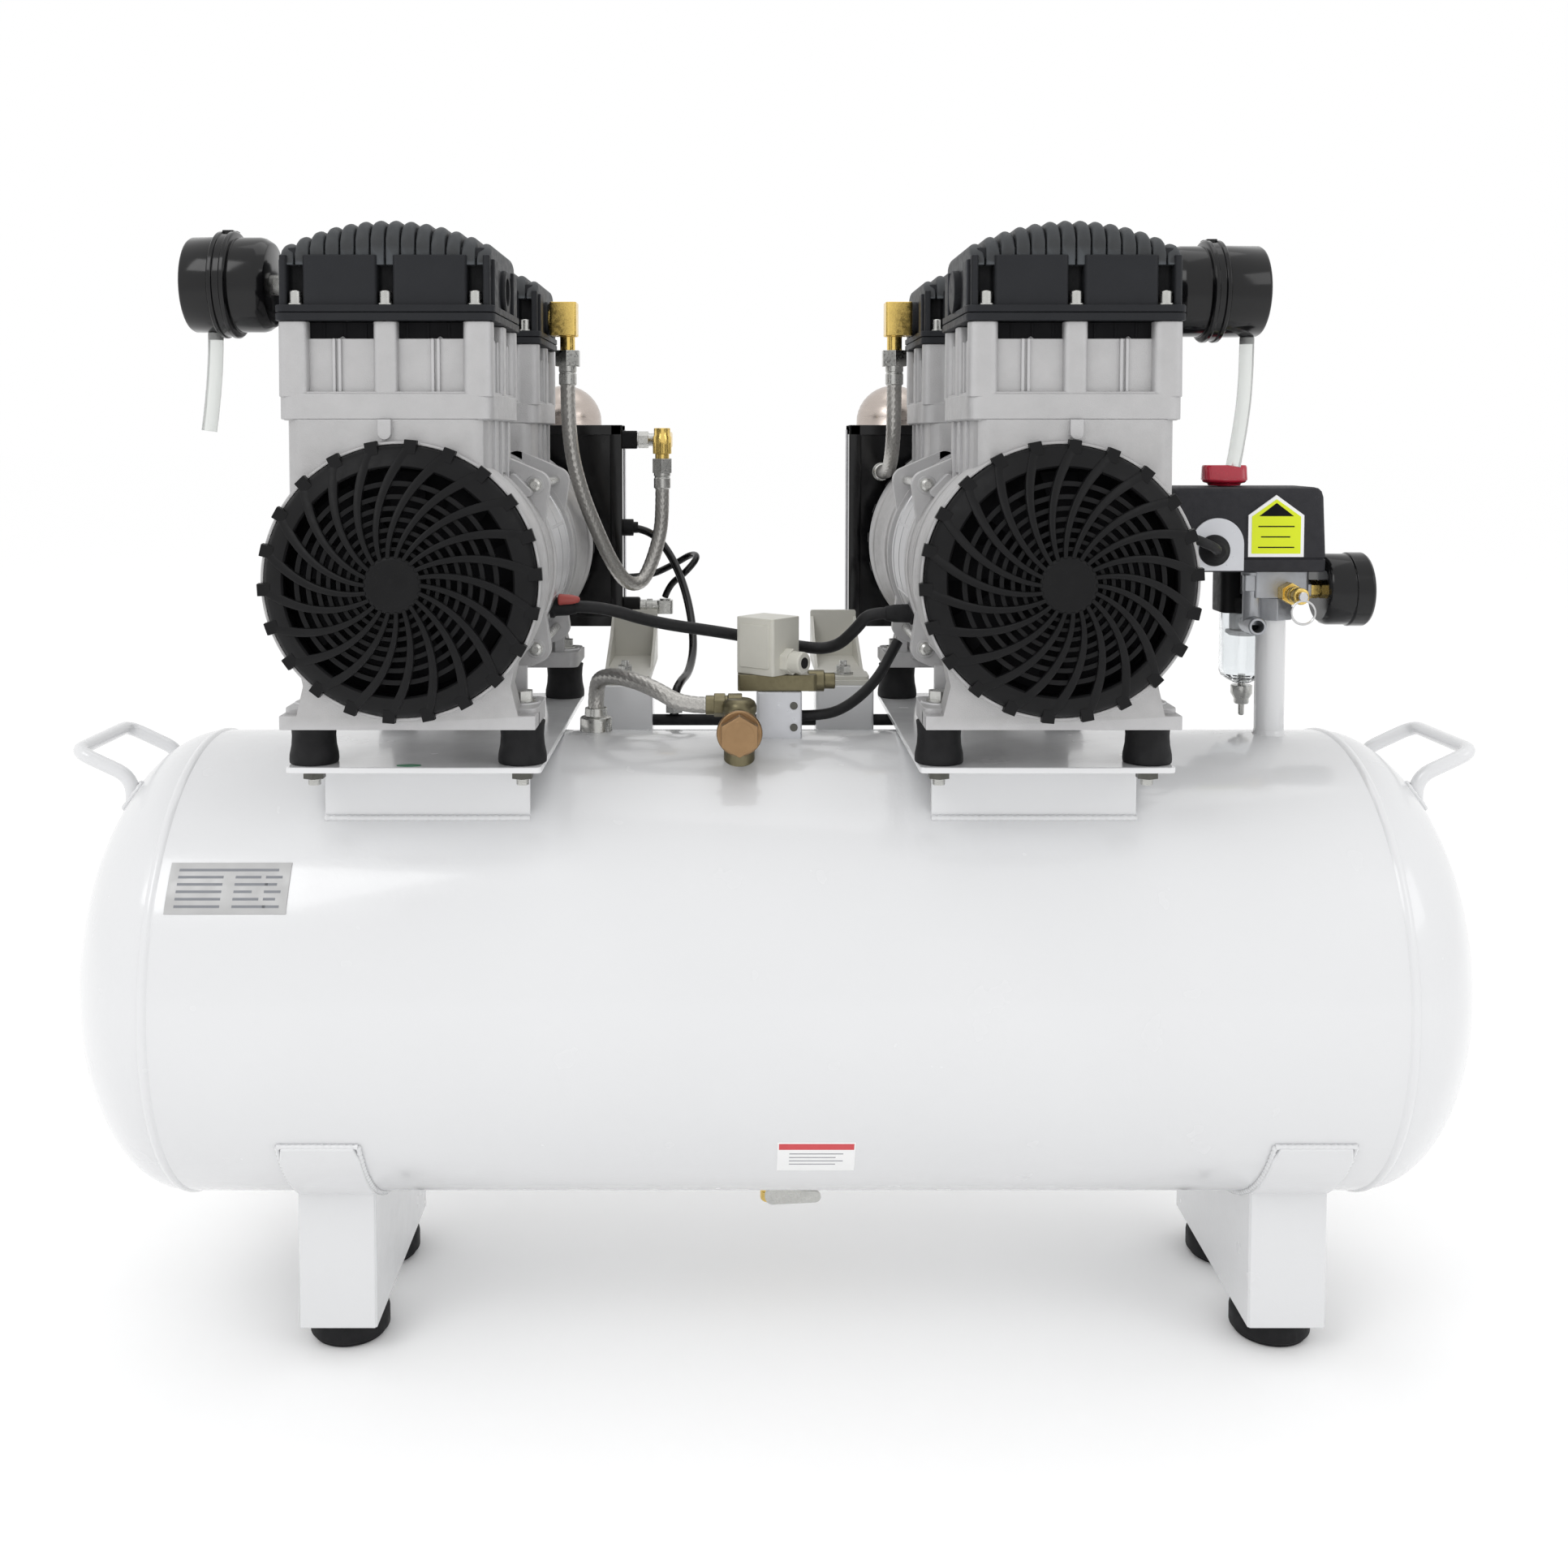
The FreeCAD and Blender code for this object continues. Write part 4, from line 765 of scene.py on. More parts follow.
class Pump:
    """One pump's datum lines, read from its CAD nodes."""

    def __init__(self, side):
        self.side = side
        self.inner = 1 if side == "left" else -1
        self.shaft = span(side + "_rotor")[2]
        self.shaft.y = 0
        self.across = span(side + "_cylinders")[2].x
        self.block_low, self.block_high, _ = span(side + "_cylinders")
        self.lid_low, self.lid_high, _ = span(side + "_cylinder_heads")
        self.case_high = span(side + "_crankcase_rear")[1]


ENDS = (("front", -1), ("rear", 1))
BORE_Y = 122  # from the tank's axis to each cylinder's middle
SHROUD_R = 88  # a housing's radius round its fan
BARREL_R = 82  # a housing's radius round the motor
NECK_HALF = 62.5  # half of a neck's width


def crankcase(pump, where, end):
    """A cast housing: fan shroud, barrel, neck, skirt, foot and four tie-bolt ears."""
    shape = Shape(pump.shaft, (1, end, 1))
    offset = pump.across - pump.shaft.x
    shroud = [(148, 20), (148, 84), (150, 87), (152, SHROUD_R), (185, SHROUD_R), (187, 87.2), (187, 85.6),
              (172, 84.4), (168, 82), (166, 78), (166, 20)]
    barrel = [(60, 68), (60, 84), (64, 84), (65, BARREL_R), (92, BARREL_R), (93, 83.4), (97, 83.4),
              (98, BARREL_R), (122, BARREL_R), (136, 83), (149, 87), (149, 68)]
    for profile in (shroud, barrel):
        shape.lathe(profile, "Y", sides=128, closed=True)
    neck_top = pump.block_low.z - pump.shaft.z

    def neck_section(inset):
        """The neck's plan at one depth, open below over the fan's bore."""
        bore, half = 84.6, NECK_HALF - inset
        bottom = [offset - half + 2 * half * i / 24 for i in range(25)]
        arc = [(x, math.sqrt(bore ** 2 - x ** 2)) for x in bottom]
        return arc + [(offset + half, neck_top), (offset - half, neck_top)]
    layers = [(61, 9), (62.2, 5.4), (65, 2), (70, 0), (174, 0), (179, 2), (181.8, 5.4), (183, 9)]
    shape.skin([[(u, y, v) for u, v in neck_section(inset)] for y, inset in layers])
    for y in (92, 122, 152):
        for flank in (-1, 1):
            x = offset + flank * NECK_HALF
            shape.block((x - 2, y - 1.6, 60), (x + 2, y + 1.6, neck_top - 0.5))
    nub_r = 4.2
    nub = hull(circle(nub_r, 20, centre=(offset, neck_top - 8.6))
               + [(offset - nub_r, neck_top), (offset + nub_r, neck_top)])
    shape.prism(nub, 180, 186.8, "Y")
    foot_z = span("rubber_mounts")[1].z - pump.shaft.z

    def under(radius, degrees):
        """An arc below the shaft, from right to left."""
        turns = [math.radians(degrees * (1 - i / 12)) for i in range(25)]
        return [(radius * math.sin(t), -radius * math.cos(t)) for t in turns]
    skirt = [(-66, foot_z + 28), (-70.5, foot_z + 9), (-81.5, foot_z + 9), (-81.5, foot_z), (81.5, foot_z),
             (81.5, foot_z + 9), (70.5, foot_z + 9), (66, foot_z + 28)] + under(86, 54)
    shape.prism(skirt, 150.5, 172, "Y")
    narrow = [(-60, foot_z + 9), (60, foot_z + 9)] + under(75, 52)
    shape.prism(narrow, 100, 153, "Y")
    shape.block((-81.5, 110, foot_z), (81.5, 162, foot_z + 12), 8)
    for a in (-1, 1):
        pad = [(foot_z, 13), (foot_z + 12.4, 12.4), (foot_z + 13, 11.6)]
        shape.lathe(pad, at=(MOUNT_X * a, MOUNT_Y, 0), sides=40)
        shape.block((a * 62, 118, foot_z + 4), (a * 70, 121, foot_z + 34))
        for b in (-1, 1):
            ear = hull(circle(10, 28, centre=(TIE_X * a, TIE_Z * b)) + circle(24, 40, centre=(52 * a, 30 * b))
                       + circle(10, 28, centre=(40 * a, 70 * b)))
            shape.prism(ear, 61, 71.6, "Y")
            shape.rod(6.6, 71, 72.2, "Y", at=(TIE_X * a, 0, TIE_Z * b))
            gusset = hull(circle(3, 16, centre=(66 * a, 52 * b)) + circle(3, 16, centre=(56 * a, 62 * b)))
            shape.prism(gusset, 71, 84, "Y")
    piece("%s_%s_housing" % (pump.side, where), shape, "casting", "%s_crankcase_%s" % (pump.side, where),
          ease=0.9, sharp=28)
    # Painted shade: a black disc with black posts laid over the silver back wall inside the shroud, so the
    # space behind the fan reads dark.
    shade_disc = Shape(pump.shaft, (1, end, 1))
    shade_disc.lathe([(166.2, 18), (166.2, 78), (166.8, 78), (166.8, 18)], "Y", sides=64, closed=True)
    for k in range(6):
        turn = math.radians(60 * k + 20)
        shade_disc.rod(4, 166, 169, "Y", at=(50 * math.cos(turn), 0, 50 * math.sin(turn)), sides=20)
    piece("%s_%s_fan_shade_disc" % (pump.side, where), shade_disc, "deep_black", ease=0)


def stator(pump):
    """A ribbed motor shell between the two housings, in three raised bands."""
    core = Shape(pump.shaft)
    profile = [(-60, 66), (-60, 80.6), (-50, 80.6), (-49, 82), (-40, 82), (-39, 80.2), (-36, 80.2),
               (-35, 81.6)]
    mirrored = [(-y, radius) for y, radius in profile[::-1]]
    core.lathe(profile + [(-2, 81.6), (-1.4, 81), (1.4, 81), (2, 81.6)] + mirrored, "Y", sides=128,
               closed=True)
    for k in range(10):
        turn = math.radians(18 + 36 * k)
        rib = Vector((80.4 * math.cos(turn), 0, 80.4 * math.sin(turn)))
        core.rod(1.6, -48, 48, "Y", at=rib, sides=12)
    piece(pump.side + "_motor_shell", core, "motor_shell", pump.side + "_stator", ease=0,
          sharp=25)


def rotor(pump):
    """The shaft with its core, crank journals and counterweights."""
    throw, weight_r, half_shaft, half_core, core_r = 7, 42, 200, 45, 45.4
    shape = Shape(pump.shaft)
    shape.lathe([(-half_shaft, 9), (1 - half_shaft, 10), (half_shaft - 1, 10), (half_shaft, 9)],
                "Y", sides=40)
    core = [(-half_core, 20), (-half_core, core_r), (half_core, core_r), (half_core, 20)]
    shape.lathe(core, "Y", sides=64, closed=True)
    for _, end in ENDS:
        journal = sorted((end * 114, end * 130))
        shape.rod(18, *journal, "Y", at=(0, 0, throw * end), sides=48)
        turns = [math.pi * i / 24 for i in range(25)]
        half = [(weight_r * math.cos(a), -weight_r * end * math.sin(a)) for a in turns]
        weight = sorted((end * 98, end * 108))
        shape.prism(half, *weight, "Y")
        shape.lathe([(end * 184.4, 9.8), (end * 184.4, 12), (end * 190, 12), (end * 190, 9.8)], "Y", sides=24)
    piece(pump.side + "_crankshaft", shape, "machined_steel", pump.side + "_rotor",
          pump.side + "_rotor", ease=0.4)


def cooling_fans(pump):
    """A curved-blade fan at each end of the shaft."""
    near, far = 170, 184
    section = ((-1, -0.5), (-0.3, -0.7), (0.4, -0.6), (1, -0.3), (1, 0.3), (0.4, 0.9), (-0.3, 0.9), (-1, 0.5))
    shape = Shape(pump.shaft)
    for _, end in ENDS:
        hub = [(near, 10.2), (near, 20), (far - 3, 20), (far, 17), (far, 10.2)]
        shape.lathe([(end * w, radius) for w, radius in hub], "Y", sides=48, closed=True)
        for k in range(9):
            rings = []
            for i in range(7):
                reach = 18 + 51 * i / 6
                lean = math.radians(40 * k + 10 * i / 6)
                twist = math.radians(34 - 14 * i / 6)
                half_chord = 9 + 4 * i / 6
                ring = []
                for s, t in section:
                    tangent = s * half_chord * math.cos(twist)
                    depth = (near + far) / 2 + s * half_chord * math.sin(twist) * 0.8 + t
                    turn = lean + tangent / reach
                    ring.append((reach * math.cos(turn), end * min(far + 0.5, max(near, depth)),
                                 reach * math.sin(turn)))
                rings.append(ring)
            shape.skin(rings)
    piece(pump.side + "_fans", shape, "deep_black", pump.side + "_cooling_fans",
          pump.side + "_rotor", ease=0)


HUB_R = 17  # a grille's hub radius


def dome(radius):
    """How far a grille stands out from its rim's face, by radius."""
    edge, rise, spread_r = 6, 22, 64
    return edge + rise * (1 - ((max(radius, HUB_R) - HUB_R) / spread_r) ** 1.6)


def grille(pump, where, end):
    """Spiral ribs over concentric hoops, with a solid rim whose tabs grip the shroud."""
    rim = pump.case_high.y
    shape = Shape(pump.shaft, (end, end, 1))
    sweep = math.radians(-30)

    def spoke(radius, start):
        """A point on a spiral rib's middle."""
        turn = start + sweep * (radius - HUB_R) / 68
        return -radius * math.cos(turn), radius * math.sin(turn)

    shape.lathe([(rim - 2, 71), (rim, 71), (rim + dome(72) - 2.4, 71), (rim + dome(73) - 0.6, 72.4),
                 (rim + dome(77), 76), (rim + 5, 82), (rim + 3, 84.4), (rim + 0.3, 85.2), (rim - 2, 85)],
                "Y", sides=132, closed=True)
    for radius in (22, 27.5, 33.5, 40, 46.5, 53.5, 61.5):
        face = rim + dome(radius) - 2.6
        near, far = radius - 1 - radius / 100, radius + 1 + radius / 100
        hoop = [(face - 3.4, near), (face, near), (face, far), (face - 3.4, far)]
        shape.lathe(hoop, "Y", sides=110, closed=True)
    shape.lathe([(rim + 22, 0), (rim + 22, 17.8), (rim + 26.4, 17.8), (rim + 27.6, 16.6), (rim + 28, 15),
                 (rim + 27.2, 13),
                 (rim + 27, 3), (rim + 27.6, 2), (rim + 27.6, 0)], "Y", sides=66)
    ribs, rib_near, rib_long = 22, 16.5, 66.5
    for k in range(ribs):
        start = 2 * math.pi * k / ribs
        rings = []
        for i in range(15):
            radius = rib_near + rib_long * i / 14
            x, z = spoke(radius, start)
            x2, z2 = spoke(radius + 0.5, start)
            along = Vector((x2 - x, 0, z2 - z)).normalized()
            across = Vector((-along.z, 0, along.x)) * (1.3 + 1.9 * (radius - rib_near) / rib_long)
            top = rim + min(dome(radius), dome(80)) + 0.2 if radius > 79 else rim + dome(radius)
            here = Vector((x, 0, z))
            low_face = max(rim + 1.5, top - 5.2)
            rings.append([here + across * w + Vector((0, y, 0)) for w, y in
                          ((1, low_face), (-1, low_face), (-1, top - 0.5), (-0.6, top), (0.6, top),
                           (1, top - 0.5))])
        shape.skin(rings)
        x, z = spoke(84, start)
        out = Vector((x, 0, z)).normalized()
        over = Vector((-out.z, 0, out.x))
        tab = []
        for reach in (80, 88.6):
            lift = rim + (6.2 if reach < 85 else 5.0)
            corners = [out * reach + over * w + Vector((0, y, 0)) for w, y in
                       ((-4.2, rim + 0.6), (4.2, rim + 0.6), (3.8, lift), (-3.8, lift))]
            tab.append(corners)
        shape.skin(tab)
    piece("%s_%s_grille" % (pump.side, where), shape, "moulded_black", ease=0.35, sharp=40,
          stands_for=pump.side + "_grilles")


def cylinders(pump):
    """Each cylinder's block: a band, pillars and ribbed panels, with windows under the head filled by a black
    core and slats as painted shade.
    """
    shape, dark = Shape(), Shape()
    tall = pump.block_high.z - pump.block_low.z
    for _, end in ENDS:
        for body in (shape, dark):
            body.spot, body.flip = Vector((pump.across, 0, pump.block_low.z)), (1, end, 1)
        shape.prism(rectangle(134, 122, 10, (0, BORE_Y)), 0, 16)
        shape.prism(rectangle(131, 119, 9, (0, BORE_Y)), -0.6, 17.4)
        walls = tall - 10.5
        shape.prism(rectangle(123, 109, 5, (0, BORE_Y)), 12, walls)
        # Painted shade: a black core and black slats fill the windows under the head, where the inside of the
        # casting lies in shade.
        dark.prism(rectangle(116, 104, 5, (0, BORE_Y)), walls - 2, tall - 0.3)
        for k in range(9):
            dark.block((-53 + 13 * k, 69.4, walls - 3), (-51.4 + 13 * k, 174.6, tall - 0.4))
        for a in (-1, 1):
            for corner_y in (68.5, 175.5):
                corner_x, taper = a * 57.5, 0.97
                pillar = rectangle(19, 15, 6, (corner_x, corner_y))
                shape.skin([[(u, v, 14) for u, v in pillar],
                            [(corner_x + (u - corner_x) * taper, corner_y + (v - corner_y) * taper, tall)
                             for u, v in pillar]])
            for rib_x in (29, 32.6):
                shape.block((a * rib_x - 1.1, 176, 14), (a * rib_x + 1.1, 178.6, walls), 0)
                shape.block((a * rib_x - 1.1, 65.4, 14), (a * rib_x + 1.1, 68, walls), 0)
            for rib_y in (92, 107, 137, 152):
                shape.block((a * 60, rib_y - 1.3, 14), (a * 64.2, rib_y + 1.3, walls))
            shape.prism(rectangle(9, 16, 3, (a * 62, BORE_Y)), 14, tall)
            for x in (-46, -15, 15, 46):
                web = [(x - 15, walls - 0.5), (x - 12.5, walls + 1.6), (x - 10, walls - 0.5)]
                shape.prism(web, 173, 176.4, "Y")
        for middle_y in (69, 175):
            shape.prism(rectangle(15, 14, 4, (0, middle_y)), 14, tall)
    piece(pump.side + "_cylinder_blocks", shape, "casting", pump.side + "_cylinders",
          ease=0.7, sharp=28)
    piece(pump.side + "_cylinder_window_shade", dark, "deep_black", ease=0.3)


def notched(wide, deep, corner, notches, width, depth):
    """A plan outline with rounded notches in its front and rear edges, centred on a cylinder."""
    a, b = wide / 2, deep / 2
    front = [(-a, -b)]
    for x in notches:
        front += [(x - width / 2, -b), (x - width / 2, -b + depth), (x + width / 2, -b + depth),
                  (x + width / 2, -b)]
    front.append((a, -b))
    back = [(-x, -y) for x, y in front]
    return [(x, y + BORE_Y) for x, y in rounded(front + back, corner, 4)]


def cylinder_heads(pump):
    """Black finned lids held down by capscrews in upright notches."""
    lids, fins, screws = Shape(), Shape(), Shape()
    rise = pump.lid_high.z - pump.lid_low.z
    half, camber = 66, 17
    shoulder = rise - camber
    crown = (half ** 2 + camber ** 2) / (2 * camber)
    screw_x = (-56, 0, 56)
    for _, end in ENDS:
        for body in (lids, fins, screws):
            body.spot, body.flip = Vector((pump.across, 0, pump.lid_low.z)), (1, end, 1)
        lids.prism(rectangle(137, 125, 7, (0, BORE_Y)), 0.2, 5)
        lids.prism(rectangle(134, 122, 7, (0, BORE_Y)), 4.6, 6)
        lids.prism(rectangle(137, 125, 7, (0, BORE_Y)), 5.6, 10)
        lids.prism(notched(131, 119, 3, screw_x, 10, 12), 9, shoulder - 6)
        lids.prism(rectangle(124, 108, 4, (0, BORE_Y)), shoulder - 8, shoulder - 1)
        for a in (-1, 1):
            for y in (70, 158):
                lids.block((a * half - 1.6, y, 10), (a * half + 1.6, y + 16, shoulder - 8), 1)
        port = (half * pump.inner, BORE_Y, 23)
        lids.lathe([(-4, 14), (1.6, 14), (2.6, 13), (2.6, 9), (-1, 8.6), (-1, 0)], "X", at=port, sides=36)
        count, fin = 14, 4.35
        pitch = 2 * half / count
        for k in range(count):
            x = -half + pitch * (k + 0.5)
            top = rise - crown + math.sqrt(crown ** 2 - x ** 2)
            height = top - (shoulder - 12)
            section = [(-fin, 0), (fin, 0)] + [(fin * math.cos(t), height - fin + fin * math.sin(t))
                                               for t in [math.pi * i / 10 for i in range(11)]]
            rings = []
            ends = [(0, 15.5), (0.7, 10), (2.6, 6), (5.4, 3), (9, 1), (13.5, 0)]
            places = [(65 + y, drop) for y, drop in ends] + [(179 - y, drop) for y, drop in ends[::-1]]
            for y, drop in places:
                keep = max(0.12, (height - drop) / height)
                narrow = 1 if drop < 5 else 0.94 if drop < 12 else 0.8
                rings.append([(x + u * narrow, y, shoulder - 12 + v * keep) for u, v in section])
            fins.skin(rings)
        for x in screw_x:
            for y in (66, 178):
                at = (x, y, 0)
                screws.rod(5, 10, 11.2, at=at)
                screws.lathe([(11, 3.9), (18.4, 3.9), (19, 3.4), (19, 2), (16.4, 1.8), (16.4, 0)], at=at,
                             sides=24)
    piece(pump.side + "_head_covers", lids, "cover_black", pump.side + "_cylinder_heads",
          ease=0.9, sharp=28)
    # The fins' lighter black is painted sheen.
    piece(pump.side + "_head_fins", fins, "fin_black", ease=0.4, sharp=50)
    piece(pump.side + "_head_screws", screws, "zinc", ease=0.25)


def pistons(pump):
    """Each piston with its two ring grooves, in one piece with its rod and big end."""
    skirt_r, groove_r = 32.7, 31.4
    crown = [(-13, 31.6), (-12.4, skirt_r), (-9, skirt_r), (-9, groove_r), (-7, groove_r), (-7, skirt_r),
             (-4.4, skirt_r), (-4.4, groove_r), (-2.6, groove_r), (-2.6, skirt_r), (-0.6, skirt_r), (0, 31.8)]
    for where, end in ENDS:
        node = "%s_piston_%s" % (pump.side, where)
        top = span(node)[1].z
        shape = Shape((pump.shaft.x, BORE_Y * end, 0))
        shape.lathe([(top + w, radius) for w, radius in crown], sides=72)
        shape.block((-9, -6, pump.shaft.z + 35), (9, 6, top - 12), 3)
        shape.block((-13, -3, pump.shaft.z + 36), (13, 3, top - 12), 1)
        shape.lathe([(-7, 32.6), (-7, 39), (7, 39), (7, 32.6)], "Y", at=(0, 0, pump.shaft.z), sides=72,
                    closed=True)
        piece(node + "_body", shape, "piston_alloy", node, node, ease=0.4)


def bearings():
    """Ball bearings: an inner and an outer ring with nine balls between them."""
    shape = Shape()
    ball_r, ball_circle, balls = 1.9, 13.5, 9
    for side in ("left", "right"):
        shaft = span(side + "_rotor")[2]
        shape.spot = Vector((shaft.x, 0, shaft.z))
        for end in (-1, 1):
            for near, thick in ((72, 12), (160, 6)):
                a, b = end * near, end * (near + thick)
                shape.lathe([(a, 14.6), (a, 17.4), (b, 17.4), (b, 14.6)], "Y", sides=40, closed=True)
                shape.lathe([(a, 10.1), (a, 12.4), (b, 12.4), (b, 10.1)], "Y", sides=40, closed=True)
                for k in range(balls):
                    turn = 2 * math.pi * k / balls
                    at = (ball_circle * math.cos(turn), (a + b) / 2, ball_circle * math.sin(turn))
                    ball = [(-ball_r, 0.3), (-1.3, 1.3), (0, ball_r), (1.3, 1.3), (ball_r, 0.3)]
                    shape.lathe(ball, "Y", at=at, sides=12)
    piece("ball_bearings", shape, "machined_steel", "shaft_bearings", ease=0.2)


def intake_filter(pump):
    """A round canister with a raised band and its clip, on a clear hexagonal nipple."""
    node = pump.side + "_intake_filter"
    low, high, middle = span(node)
    outer = -pump.inner
    spot = (pump.across, middle.y, middle.z)
    far = abs((high.x if outer > 0 else low.x) - pump.across)
    can_r, band_r = 31, 35
    shape, nipple = Shape(spot, (outer, 1, 1)), Shape(spot, (outer, 1, 1))
    shape.lathe([(85, 6), (85, 25), (85.8, 27.4), (90, 30.2), (93, can_r), (108, can_r), (108.6, 34),
                 (109.6, band_r), (112, band_r), (112.6, 33.8), (116.6, 33.8), (117.2, band_r),
                 (119.6, band_r),
                 (120.4, 34), (120.8, 31.4), (far - 2.6, can_r), (far - 0.8, 30), (far, 28.4), (far, 23),
                 (far - 1.4, 22), (far - 1.4, 4)], "X", sides=96)
    shape.block((111, -5, 33), (118.4, 5, 35.6), 1.2)
    shape.block((110.4, 3, 33.4), (114, 9, 35.9), 1)
    shape.rod(4.6, -36, -29, at=(125 if outer < 0 else 141, 0, 0))
    piece(node + "_can", shape, "gloss_black", node, ease=0.4)
    nipple.prism(hexagon(15), 69, 80, "X")
    nipple.lathe([(64, 6), (70, 6), (70, 6.8), (86, 6.8)], "X", sides=32)
    piece(node + "_nipple", nipple, "zinc", ease=0.5)


def pumps():
    """Both pumps, piece by piece."""
    for side in ("left", "right"):
        pump = Pump(side)
        for where, end in ENDS:
            crankcase(pump, where, end)
            grille(pump, where, end)
        stator(pump)
        rotor(pump)
        cooling_fans(pump)
        cylinders(pump)
        cylinder_heads(pump)
        pistons(pump)
        intake_filter(pump)
    bearings()


# ---- outlet line, coolers and dryers ------------------------------------------------------------

COOLER_LEFT_X, COOLER_RIGHT_X = -127, 73  # the coolers' inner sides
COOLER_WIDE = 178


def outlet_fittings():
    """Elbows, hose nuts and ferrules on the rear heads, and the fittings on the coolers."""
    brass, nuts, boss = Shape(), Shape(), Shape()
    for side in ("left", "right"):
        pump = Pump(side)
        port = Vector((pump.across + 83 * pump.inner, BORE_Y, 737))
        for body in (brass, nuts):
            body.spot, body.flip = port, (pump.inner, 1, 1)
        brass.block((-13.4, -11.4, -13.4), (8, 11.4, 13.4), 2.4)
        brass.lathe([(-17, 8), (-7, 8), (-7, 9), (-2, 9)], "X", sides=32)
        brass.lathe([(-26, 6), (-14, 6), (-14, 8.4), (-12, 8.4)], sides=32)
        nuts.prism(hexagon(19), -37.6, -25)
        nuts.lathe([(-53, 6.3), (-52, 7.2), (-44, 7.2), (-43.4, 6.6), (-42.4, 6.6), (-41.8, 7.2), (-38, 7.2),
                    (-36, 8)], sides=32)
    tip = Vector(OUTLET_ROUTES["left"][-1])
    for body in (brass, nuts):
        body.spot, body.flip = tip, (1, 1, 1)
    nuts.lathe([(0, 6.3), (1, 7.2), (9, 7.2), (9.6, 6.6), (10.6, 6.6), (11.2, 7.2), (14, 7.2)], sides=32)
    nuts.prism(hexagon(16), 13.6, 26)
    brass.lathe([(25, 6), (30, 6), (30, 8), (44, 8), (46, 7), (52, 7), (52, 5)], sides=32)
    brass.prism(hexagon(15), 30, 40)
    rear = (0, 46, 42)
    brass.block((-7, 0, 35), (7, 52, 49), 2, "Y")
    brass.lathe([(-16, 5.4), (0, 5.4)], "X", at=rear, sides=32)
    nuts.prism(hexagon(13), -23, -14, "X", at=rear)
    nuts.lathe([(-24, 6.2), (-14, 6.2), (-13, 5.6), (-6, 5.6)], "X", at=rear, sides=32)
    boss.block((COOLER_LEFT_X - 0.5, 235.6, 632), (COOLER_LEFT_X + 13, 248.4, 648), 3, "X")
    for body in (nuts, boss):
        body.spot = Vector((COOLER_LEFT_X, 250, 491))
    boss.lathe([(0, 9), (13.6, 9), (15, 8), (15, 6)], "X", sides=36)
    nuts.lathe([(14, 6.5), (20, 6.5), (20, 5.8), (31, 5.8)], "X", sides=32)
    nuts.prism(hexagon(12.6), 20.6, 26, "X")
    nuts.block((30, -6, -6), (44, 6, 6), 2.4)
    nuts.lathe([(4, 5), (7.4, 5)], at=(37, 0, 0), sides=28)
    nuts.spot = Vector(OUTLET_ROUTES["right"][-1])
    nuts.lathe([(0, 6.4), (1, 7.4), (8, 7.4), (8, 8), (14, 8)], "Y", sides=32)
    piece("brass_elbows", brass, "brass", "outlet_fittings", ease=0.6)
    piece("hose_nuts", nuts, "zinc", "outlet_fittings", ease=0.4)
    piece("cooler_bosses", boss, "moulded_black", "outlet_fittings", ease=0.8)


def aftercoolers():
    """Finned coolers in black frames, each with a pale strip down its inner side."""
    low, high, middle = span("aftercoolers")
    wide, rail, post, sheet = COOLER_WIDE, 9, 11, 1.6
    surrounds, core, strips = Shape(), Shape(), Shape()
    for x0 in (low.x, high.x - wide):
        x1 = x0 + wide
        for a, b in (((x0, low.y, low.z), (x1, high.y, low.z + rail)),
                     ((x0, low.y, high.z - rail), (x1, high.y, high.z)),
                     ((x0, low.y, low.z), (x0 + post, high.y, high.z)),
                     ((x1 - post, low.y, low.z), (x1, high.y, high.z))):
            surrounds.block(a, b, 1.5)
        surrounds.block((x0 + 9, low.y + 2, low.z + 8), (x1 - 9, low.y + 2 + sheet, high.z - 8))
        for k in range(38):
            x = x0 + 13 + 4.1 * k
            core.block((x, low.y + 5, low.z + 8), (x + 0.9, high.y - 3, high.z - 8))
        for k in range(6):
            z = low.z + 22 + 27 * k
            line = [(x0 + 9, middle.y + 6, z), (x1 - 9, middle.y + 6, z)]
            core.sweep([Vector(p) for p in line], 4.5, 16)
        near, far = (x1, x1 + 0.8) if x0 < 0 else (x0 - 0.8, x0)
        strips.block((near, low.y + 24, low.z + 4), (far, high.y - 2, high.z - 4))
    piece("cooler_frames", surrounds, "gloss_black", "aftercoolers", ease=0.8)
    piece("cooler_fins", core, "moulded_black", ease=0)
    piece("cooler_side_strips", strips, "side_grey", ease=0.2)


def canisters():
    """Round-topped dryer cans, each held by two strapped brackets."""
    low, high, _ = span("dryer_canisters")
    can_r, bead_r, strap_r = 34, 34.6, 35.2
    wall = [(low.z, 20), (low.z, 30), (low.z + 3, 33), (low.z + 10, can_r), (high.z - 42, can_r),
            (high.z - 41, bead_r), (high.z - 38, bead_r), (high.z - 37, can_r)]
    for i in range(1, 11):
        turn = math.pi / 2 * i / 10
        wall.append((high.z - can_r + can_r * math.sin(turn), can_r * math.cos(turn)))
    shape, straps = Shape(), Shape()
    for x in (COOLER_LEFT_X - 58, COOLER_RIGHT_X + 46):
        at = (x, high.y - strap_r - 0.1, 0)
        shape.lathe(wall, at=at, sides=96)
        for z in (511, 631):
            band = [(z - 6, can_r + 0.1), (z - 6, strap_r), (z + 6, strap_r), (z + 6, can_r + 0.1)]
            straps.lathe(band, at=at, sides=64, closed=True)
            straps.block((x - 30, 275.6, z - 6), (x + 30, 280.3, z + 6), 1)
    piece("dryer_cans", shape, "canister", "dryer_canisters", ease=0, sharp=45)
    piece("canister_straps", straps, "bracket_white", "cooler_brackets", ease=0.4)


